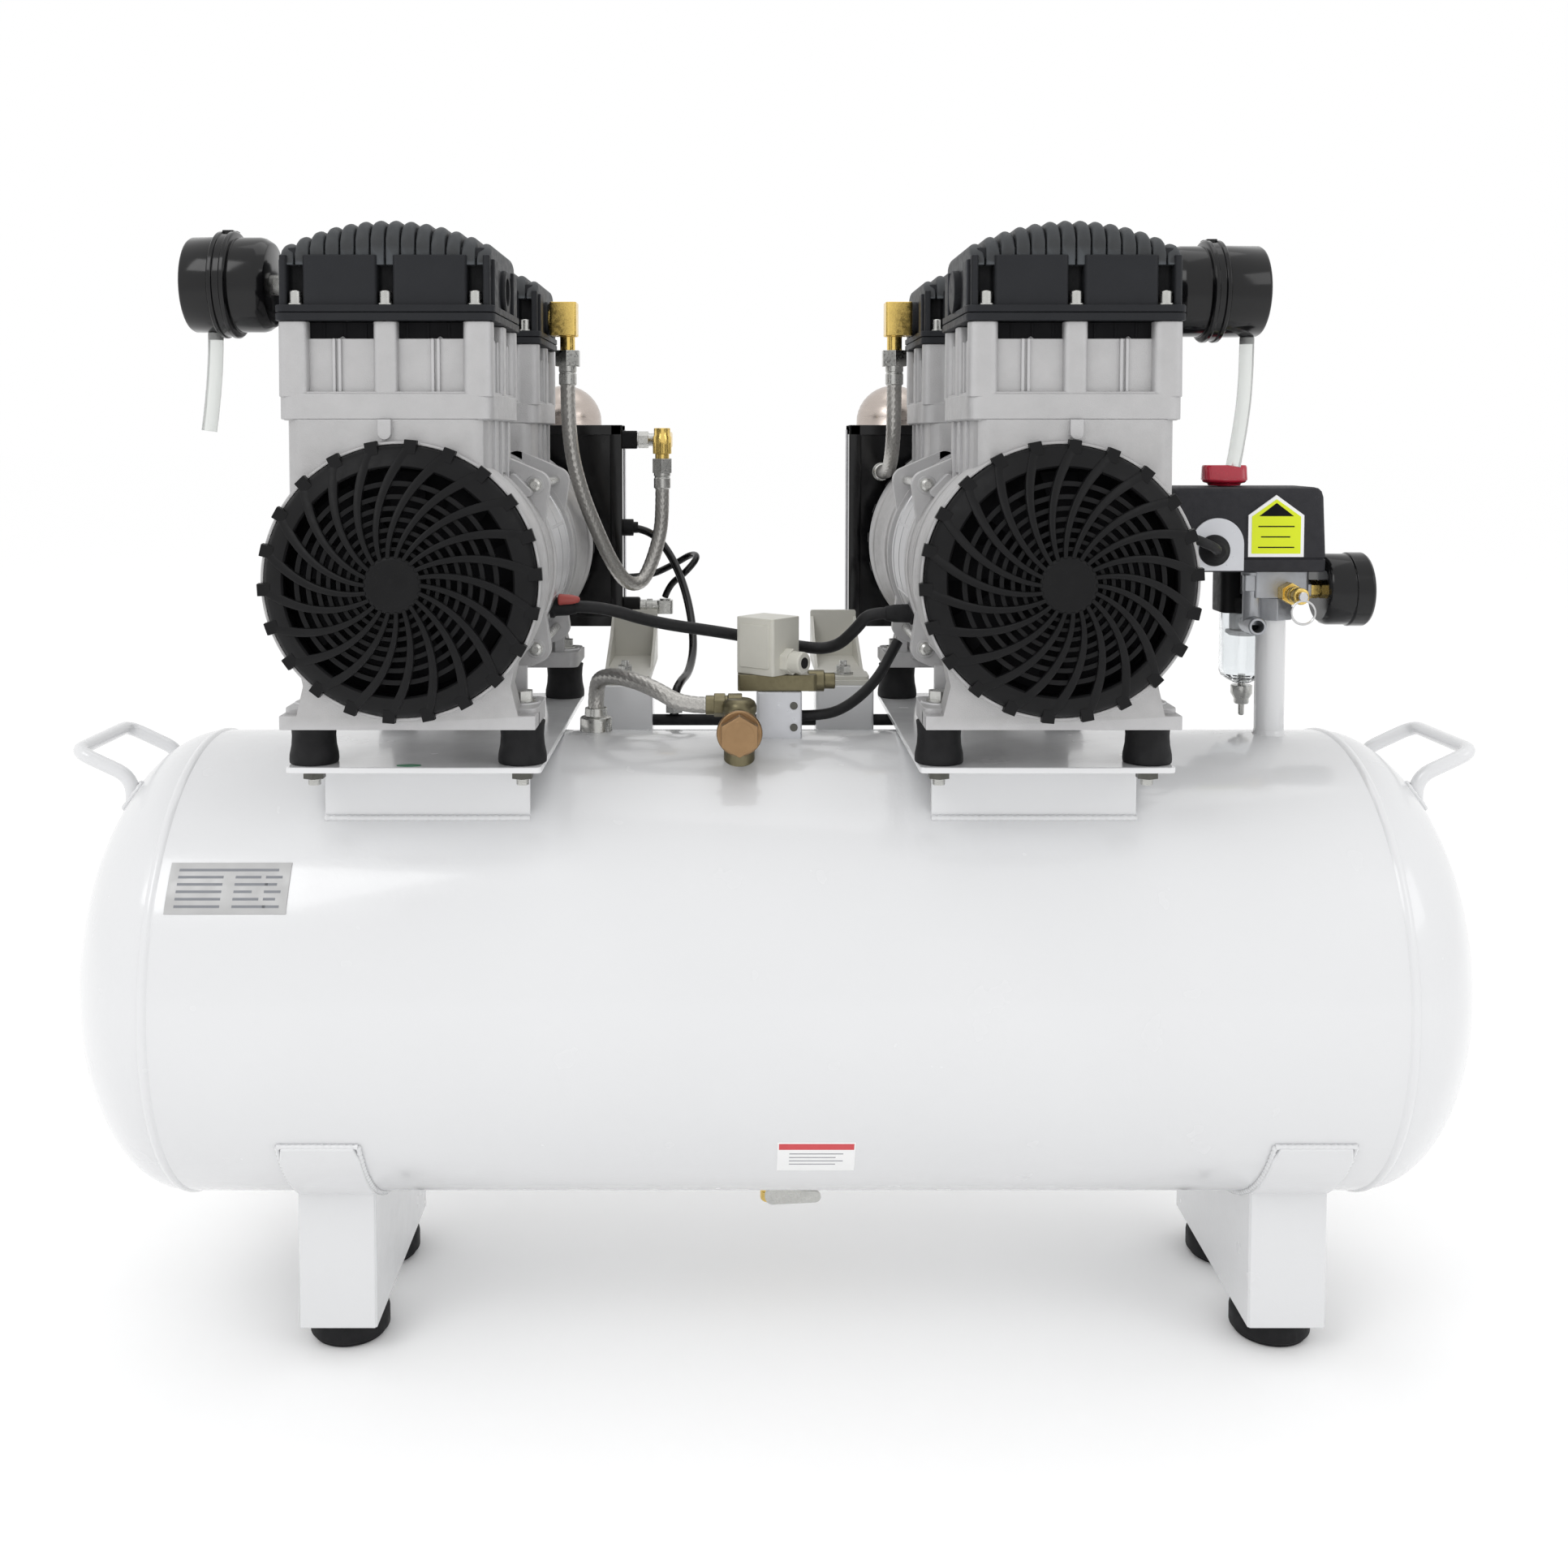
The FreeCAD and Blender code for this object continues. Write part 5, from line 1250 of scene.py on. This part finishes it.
def bracket_foot(shape, screws, x, y, z):
    """A slotted flange with a hex bolt and washer."""
    shape.prism(rounded([(x - 20, y - 18), (x + 20, y - 18), (x + 20, y + 14), (x - 20, y + 14)], 5), z, z
                + 3)
    screws.rod(8, z + 3, z + 4.4, at=(x, y - 4, 0))
    screws.prism(hexagon(11), z + 4.2, z + 10, at=(x, y - 4, 0))
    screws.rod(3, z + 9.5, z + 14, at=(x, y - 4, 0), sides=20)


def brackets():
    """The coolers' stands: an inner one on a white box and an outer one on each platform."""
    half, back, sheet, top = 20, 236, 3.6, 490
    shape, screws, white = Shape(), Shape(), Shape()
    for x in (-116, 59):
        white.block((x - 23, 79, 380), (x + 23, 113, 446), 3)
        shape.block((x - half, 82, 446), (x + half, back, 446 + sheet), 2)
        shape.block((x - half, back - sheet, 446), (x + half, back, top), 2, "Y")
        for edge in (-1, 1):
            wing = rounded([(150, 449), (233, 449), (233, 486), (205, 470)], 4)
            edge_x = sorted((x + edge * half, x + edge * 17.4))
            shape.prism(wing, *edge_x, "X")
        bracket_foot(shape, screws, x, 104, 449.4)
    for x in (-255, 193):
        shape.block((x - half, 125, 428.6), (x + half, back, 432.4), 2)
        shape.block((x - half, back - sheet, 428.6), (x + half, back, top), 2, "Y")
        bracket_foot(shape, screws, x, 206, 432.2)
    piece("cooler_stands", shape, "bracket_white", "cooler_brackets", ease=0.7)
    piece("stand_feet", white, "white_paint", ease=1.2)
    piece("stand_screws", screws, "zinc", ease=0.3)


# ---- valves between the pumps -------------------------------------------------------------------

def check_valve():
    """A check valve on the tank, its hexagon cap towards the front."""
    shape, cap = Shape(), Shape()
    x, z = -25, 437
    shape.lathe([(397, 11), (445, 11), (448, 12.4), (452, 12.4), (455, 11), (457, 8)], at=(x, -52, 0),
                sides=40)
    shape.lathe([(-79, 12.6), (-72, 12.6), (-70, 13), (-50, 13), (-44, 12), (-38, 10), (-34, 8)], "Y",
                at=(x, 0, z), sides=40)
    shape.lathe([(-24, 7), (-8, 7), (-8, 8.4), (2, 8.4)], "X", at=(x, -44, z + 14), sides=32)
    shape.prism(hexagon(15), -18, -10, "X", at=(x, -44, z + 14))
    piece("check_valve_body", shape, "olive_plating", "check_valve", ease=0.6)
    cap.lathe([(-81, 15.2), (-80, 16), (-77.6, 16), (-77, 15)], "Y", at=(x, 0, z), sides=48)
    cap.prism(hexagon(25), -94, -81, "Y", at=(x, 0, z))
    cap.lathe([(-94.3, 10.4), (-93.6, 11.4)], "Y", at=(x, 0, z), sides=48)
    piece("check_valve_cap", cap, "bronze", ease=1.0)


def solenoid():
    """A valve body with a moulded coil on top, its plug and a cable gland."""
    coil, body, plug = Shape(), Shape(), Shape()
    body.block((-26, -13, 456), (32, 13, 468), 3)
    body.rod(9, 452, 458, at=(3, 0, 0))
    body.lathe([(26, 8), (38, 8), (38, 6), (46, 6)], "X", at=(0, 0, 462), sides=28)
    piece("solenoid_body", body, "olive_plating", ease=0.6)
    coil.block((-17.5, -16, 468), (17.5, 16, 510), 2.5)
    coil.block((-14, -16.8, 473), (14, -15, 505), 2, "Y")
    coil.prism(hexagon(17), 17, 24, "X", at=(0, 0, 478))
    coil.lathe([(23, 8), (33, 8), (34, 7.2)], "X", at=(0, 0, 478), sides=32)
    plug.block((-14, 3, 506), (14, 15, 509.8), 1)
    plug.rod(4.2, 32, 34.4, "X", at=(0, 0, 478), sides=20)
    turn = Matrix.Rotation(math.radians(-40), 3, "Z")
    for part in (coil, plug):
        bmesh.ops.rotate(part.bm, verts=part.bm.verts, cent=put((0, 0, 0)), matrix=turn)
        bmesh.ops.translate(part.bm, verts=part.bm.verts, vec=Vector((-3.5, 0, 0)) * MM)
    piece("solenoid_coil", coil, "coil_cream", "solenoid_valve", ease=1.0)
    piece("solenoid_plug", plug, "moulded_black", ease=0.4)


def manifold_block():
    """An alloy tee block with the screws in its faces."""
    low, high, _ = span("manifold_block")
    shape, holes = Shape(), Shape()
    shape.block((low.x, low.y, 400), high, 2)
    piece("tee_block", shape, "block_alloy", "manifold_block", ease=1.0)
    for z in (430, 446):
        holes.lathe([(-0.2, 2.9), (0.3, 2.9), (0.3, 1.6), (-0.1, 1.4)], "Y",
                    at=(high.x - 6, low.y - 0.2, z), sides=20)
    holes.lathe([(-0.2, 3.8), (0.6, 3.8), (0.6, 2.4)], "X", at=(high.x, 8, 440), sides=20)
    piece("tee_block_screws", holes, "dark_zinc", ease=0)


def fittings():
    """Glands, the tank's hose bung and the small end pieces of the air lines."""
    rubber, metal = Shape(), Shape()
    for side, s, y, z in (("left", 1, 0, 517), ("right", -1, 0, 512), ("right", 1, -36, 574)):
        x = span(side + "_rotor")[2].x
        start = math.sqrt(BARREL_R ** 2 - (z - 552) ** 2) - 2
        rubber.spot, rubber.flip = Vector((x, y, z)), (s, 1, 1)
        rubber.lathe([(start, 8.4), (start + 3, 8.4), (start + 4, 7), (85, 6.6), (91.5, 5.2)], "X", sides=28)
    metal.lathe([(405, 12), (432, 12), (433, 11.4), (434, 8.6), (440, 8.2)], at=(-132, 12, 0), sides=32)
    metal.prism(hexagon(17), 424, 434, at=(-132, 12, 0))
    metal.prism(hexagon(13), 424, 430, at=(-76, 85, 0))
    for x, length in ((-93, 129), (82, 46)):
        rubber.spot, rubber.flip = Vector((x, 85, 418)), (1, 1, 1)
        rubber.lathe([(0, 4.5), (length, 4.5)], "X", sides=24)
    rubber.spot = Vector((0, 0, 0))
    rubber.lathe([(-127, 7.5), (-118, 7.5), (-118, 5), (-114, 5)], "X", at=(0, 250, 562), sides=28)
    piece("cable_glands", rubber, "rubber", "tank_fittings", ease=0.4)
    nut = Shape((-150, -7, 523))
    nut.lathe([(-8, 3.2), (-7, 4.2), (2, 3.6), (7, 2.2), (8, 1.2)], "X", sides=20)
    piece("loom_wire_nut", nut, "wire_red", ease=0.2)
    piece("line_fittings", metal, "zinc", ease=0.4)


# ---- controls -----------------------------------------------------------------------------------

def standpipe():
    """A pipe from the tank to the switch, with its weld."""
    _, high, middle = span("standpipe")
    shape = Shape((middle.x, middle.y, 0))
    shape.lathe([(405, 10.75), (high.z, 10.75), (high.z, 9)], sides=48)
    shape.lathe([(419, 14.6), (421.6, 13.6), (424, 11.4), (426, 10.8)], sides=48)
    piece("riser_pipe", shape, "white_paint", "standpipe", ease=0.3)


def switch_manifold():
    """The block under the switch, with the open air outlet below it."""
    x, outlet_x = span("standpipe")[2].x, 350.4
    shape = Shape()
    shape.prism(hexagon(26), 508, 524.6, at=(x, 0, 0))
    shape.block((x - 18, -18, 525), (x + 22, 18, 544.8), 3)
    shape.lathe([(505, 6.5), (541, 6.5), (541, 7.6), (544, 7.6)], at=(outlet_x, -10, 0), sides=28)
    shape.lathe([(-26, 4.3), (-26, 6), (-25, 6.7), (-2, 6.7), (-2, 4.3)], "Y", at=(outlet_x, 0, 505),
                sides=36, closed=True)
    shape.block((343, -17, 530), (357, -10, 542), 2)
    shape.prism(hexagon(14), 16, 24, "X", at=(x, -10, 531))
    piece("distribution_block", shape, "manifold_grey", "switch_manifold", ease=0.8)
    # Painted shade: a black disc inside the outlet's bore makes it read as a dark hole.
    dark = Shape()
    dark.rod(4.3, -14, -12, "Y", at=(outlet_x, 0, 505), sides=24)
    piece("outlet_bore_shade", dark, "deep_black", ease=0)


def pressure_switch():
    """A moulded box with a lid line, a gland plate and a sticker that holds no words."""
    low, high, middle = span("pressure_switch")
    shape = Shape()
    base = rectangle(high.x - low.x, high.y - low.y, 5, (middle.x, middle.y))
    rings = []
    for z, inset in ((low.z, 0.6), (low.z + 1, 0.0), (low.z + 9, 0.0), (low.z + 9.4, 0.8),
                     (low.z + 10, 0.8), (low.z + 10.4, 0.0), (high.z - 7, 1.6), (high.z - 3, 2.6),
                     (high.z - 0.8, 4.4), (high.z, 7)):
        kx = 1 - 2 * inset / (high.x - low.x)
        ky = 1 - 2 * inset / (high.y - low.y)
        rings.append([(middle.x + (u - middle.x) * kx, middle.y + (v - middle.y) * ky, z) for u, v in base])
    shape.skin(rings)
    piece("switch_cover", shape, "textured_black", "pressure_switch", ease=0.5)
    front = low.y
    plate = Shape()
    arch = [(300, 546), (338, 546)] + [(319 + 19 * math.cos(t), 565 + 19 * math.sin(t))
                                       for t in [math.pi * i / 20 for i in range(21)]]
    plate.prism(arch, front - 0.8, front + 2, "Y")
    piece("gland_plate", plate, "block_alloy", ease=0.4)
    gland = Shape()
    gland.lathe([(front - 13, 4.4), (front - 12, 5.4), (front - 5, 8.4), (front - 3, 10.8),
                 (front - 1, 11.4), (front, 11.4)], "Y", at=(316.6, 0, 560.7), sides=36)
    piece("switch_gland", gland, "rubber", ease=0.3)
    border, face, arrow = Shape(), Shape(), Shape()
    x, bottom, eave, peak, half = 361, 556, 586, 600.5, 20

    def house(inset):
        """A gabled outline, drawn in by an inset."""
        return [(x - half + inset, bottom + inset), (x + half - inset, bottom + inset),
                (x + half - inset, eave - inset * 0.4), (x, peak - inset * 1.25),
                (x - half + inset, eave - inset * 0.4)]
    border.prism(house(0), front - 0.2, front + 1.6, "Y")
    face.prism(house(2.4), front - 0.45, front + 1, "Y")
    arrow.prism([(x - 12.4, eave - 0.6), (x + 12.4, eave - 0.6), (x, peak - 5.6)], front - 0.6, front, "Y")
    for k in range(3):
        z = 577.5 - 7.5 * k
        arrow.block((x - 13 + 2 * (k % 2), front - 0.55, z), (x + 13 - 3 * (k % 2), front, z + 0.9))
    piece("switch_label_border", border, "label_white", ease=0)
    piece("switch_label", face, "label_yellow", ease=0)
    piece("switch_label_arrow", arrow, "deep_black", ease=0)


def switch_knob():
    """A red pull knob with a grip bar across its top."""
    low, high, middle = span("switch_knob")
    shape = Shape((middle.x, middle.y, 0))
    foot = high.z - 15
    shape.rod(5, low.z, foot + 2, sides=24)
    shape.lathe([(foot, 9), (foot, 11.4), (foot + 1.6, 12), (foot + 2.2, 14.6), (foot + 3, 15.6),
                 (foot + 4.4, 16), (foot + 5, 15.4)], sides=64)
    grip = rounded([(-15.8, -7.5), (15.8, -7.5), (15.8, 7.5), (-15.8, 7.5)], 5)
    shape.skin([[(u, v * 1.25, foot + 4) for u, v in grip], [(u, v, foot + 9) for u, v in grip],
                [(u, v * 0.86, foot + 13.4) for u, v in grip],
                [(u * 0.97, v * 0.7, foot + 15) for u, v in grip]])
    piece("red_pull_knob", shape, "knob_red", "switch_knob", "switch_knob", ease=0.6)


def gauge():
    """A round gauge that faces away from the switch, with a plain scale and no words."""
    _, high, middle = span("pressure_gauge")
    at = Vector((0, middle.y, middle.z))
    x0, x1 = 399, high.x
    case, face, marks, lens = Shape(at), Shape(at), Shape(at), Shape(at)
    case.lathe([(x0, 6), (x0, 23), (x0 + 2, 25), (x0 + 5, 26), (x1 - 14, 26), (x1 - 13, 27), (x1 - 2, 27),
                (x1, 25.6),
                (x1, 24), (x1 - 10, 24), (x1 - 10, 6)], "X", sides=80, closed=True)
    piece("gauge_case", case, "gloss_black", "pressure_gauge", ease=0.5)
    face.lathe([(x1 - 10.2, 0), (x1 - 10.2, 24), (x1 - 9.4, 24), (x1 - 9.4, 0)], "X", sides=64)
    piece("gauge_dial", face, "dial_white", ease=0)
    for k in range(28):
        turn = math.radians(-135 + 10 * k)
        long_mark = k % 3 == 0
        inner, wide = (17.5, 0.7) if long_mark else (19.6, 0.35)
        out = Vector((0, math.sin(turn), math.cos(turn)))
        over = Vector((0, out.z, -out.y)) * wide / 2
        rings = []
        for x in (x1 - 9.5, x1 - 9.25):
            base = Vector((x, 0, 0))
            rings.append([base + out * inner - over, base + out * inner + over, base + out * 22 + over,
                          base + out * 22 - over])
        marks.skin(rings)
    marks.lathe([(x1 - 9.5, 22.4), (x1 - 9.2, 22.4), (x1 - 9.2, 22.9), (x1 - 9.5, 22.9)], "X", sides=64,
                closed=True)
    piece("gauge_marks", marks, "mark_grey", ease=0)
    lens.lathe([(x1 - 3, 0), (x1 - 3, 23.9), (x1 - 1.6, 23.9), (x1 - 1.6, 0)], "X", sides=64)
    piece("gauge_lens", lens, "clear_bowl", ease=0)
    stem = Shape(at)
    stem.lathe([(389, 6), (400, 6)], "X", sides=28)
    stem.prism(hexagon(12), 391, 398.6, "X")
    piece("gauge_stem", stem, "brass", ease=0.5)
    needle = Shape((x1 - 7.4, middle.y, middle.z))
    needle.lathe([(-0.6, 0), (-0.6, 2.5), (1.6, 2.4), (2, 1.6), (2, 0)], "X", sides=24)
    turn = Matrix.Rotation(math.radians(135), 3, "X")
    outline = [(-0.9, -5), (0.9, -5), (0.25, 18), (-0.25, 18)]
    needle.skin([[turn @ Vector((w, u, v)) for u, v in outline] for w in (0, 0.7)])
    piece("gauge_pointer", needle, "wire_red", "gauge_needle", "gauge_needle", ease=0)


def relief_valve():
    """A small brass safety valve with its pull ring."""
    x, z = 374, 529
    shape = Shape((x, 0, z))
    shape.prism(hexagon(14), -28, -18, "Y")
    shape.lathe([(-48, 3), (-48, 5), (-47, 6), (-42, 6), (-41.4, 5.2), (-38, 5.2), (-37.4, 6), (-34, 6),
                 (-33.4, 5.2),
                 (-30, 5.2), (-29.4, 6), (-27, 6)], "Y", sides=32)
    piece("relief_valve_body", shape, "brass", "safety_valve", ease=0.4)
    ring = Shape((x, -51.4, z))
    loop_r, drop, steps, flatness = 8.4, 11, 48, 0.9375
    rings = []
    for turn in [2 * math.pi * i / steps for i in range(steps)]:
        out = Vector((math.sin(turn), 0, math.cos(turn)))
        middle = out * loop_r - Vector((0, 0, drop))
        rings.append([middle + out * u + Vector((0, v * flatness, 0)) for u, v in circle(0.8, 10)])
    ring.skin(rings, closed=True)
    ring.rod(2.2, 0, 3.2, "Y", sides=20)
    ring.lathe([(-0.8, 1.2), (-0.8, 3), (0, 3.6), (0.8, 3), (0.8, 1.2)], "Y", sides=20)
    piece("relief_pull_ring", ring, "machined_steel", "safety_ring", "safety_ring", ease=0)


def water_trap():
    """A clear bowl under a black head, with its insert and drain pin."""
    low, high, _ = span("water_trap_body")
    bowl_low, _, bowl_middle = span("water_trap_bowl")
    spot = (bowl_middle.x, bowl_middle.y, 0)
    body = Shape()
    body.block(low, high, 6)
    body.lathe([(low.z - 0.1, 18), (low.z + 5, 18.6), (low.z + 12, 18.6), (low.z + 13, 17)], at=spot,
               sides=48)
    piece("trap_head", body, "moulded_black", "water_trap_body", ease=1.0)
    bowl = Shape(spot)
    z = bowl_low.z
    bowl.lathe([(z + 54, 17), (z + 9, 17), (z + 5, 15.4), (z + 1, 9), (z, 7.4), (z, 3.4), (z + 3, 3.4),
                (z + 3.6, 7),
                (z + 7, 13.4), (z + 11, 15), (z + 54, 15)], sides=64, closed=True)
    piece("trap_bowl", bowl, "clear_bowl", "water_trap_bowl", ease=0)
    insert = Shape(spot)
    insert.lathe([(z + 36, 5), (z + 36, 10), (z + 38, 12.6), (z + 40, 12.6), (z + 41, 6), (z + 54, 6)],
                 sides=40)
    insert.lathe([(z + 41, 9), (z + 41, 9.8), (z + 53, 9.8), (z + 53, 9)], sides=40, closed=True)
    piece("trap_insert", insert, "label_white", ease=0.3)
    drain_z = span("water_trap_drain")[0].z
    profile = [(0, 1.4), (1, 2.2), (9, 2.4), (9, 5), (10, 5.6), (13, 5.6), (17, 8), (23, 8), (23.4, 7.4),
               (23.4, 2.9), (31, 2.9), (31, 1)]
    drain = Shape(spot)
    drain.lathe([(drain_z + w, radius) for w, radius in profile], sides=40)
    piece("trap_drain_pin", drain, "zinc", "water_trap_drain", "water_trap_drain", ease=0.25)


def compressor():
    """Every piece, from the ground up."""
    tank()
    leg("leg_left", -1)
    leg("leg_right", 1)
    feet()
    handles()
    platform("left")
    platform("right")
    for part in (mounts_and_bolts, drain_cock, labels, pumps, outlet_fittings, aftercoolers, canisters,
                 brackets,
                 check_valve, solenoid, manifold_block, fittings, standpipe, switch_manifold, pressure_switch,
                 switch_knob, gauge, relief_valve, water_trap):
        part()


compressor()


# ---- studio -------------------------------------------------------------------------------------

def studio():
    """A pale floor, a near-white surround and three soft lights."""
    floor = bpy.data.meshes.new("floor")
    floor.from_pydata([(-60, -60, 0), (60, -60, 0), (60, 60, 0), (-60, 60, 0)], [], [(0, 1, 2, 3)])
    finish("studio_floor", (0.998, 0.998, 0.998), 0.95, tone=0.002, tone_scale=2, shine=0.0)
    floor.materials.append(FINISHES["studio_floor"])
    ground = bpy.data.objects.new("floor", floor)
    bpy.context.scene.collection.objects.link(ground)
    world = bpy.data.worlds.new("surround")
    world.use_nodes = True
    world.node_tree.nodes["Background"].inputs["Color"].default_value = (1, 1, 1, 1)
    world.node_tree.nodes["Background"].inputs["Strength"].default_value = 1.0
    bpy.context.scene.world = world
    bpy.context.scene.view_settings.view_transform = "Standard"
    for name, spot, size, power in (("key", (-1.4, -1.9, 2.4), 1.2, 14), ("fill", (1.9, -1.6, 1.7), 1.0, 5),
                                    ("top", (0.2, 0.3, 2.8), 1.6, 6)):
        light = bpy.data.lights.new(name, "AREA")
        light.size = size
        light.energy = power
        lamp = bpy.data.objects.new(name, light)
        lamp.location = spot
        lamp.rotation_euler = (Vector((0, 0, 0.45)) - Vector(spot)).to_track_quat("-Z", "Y").to_euler()
        bpy.context.scene.collection.objects.link(lamp)


studio()
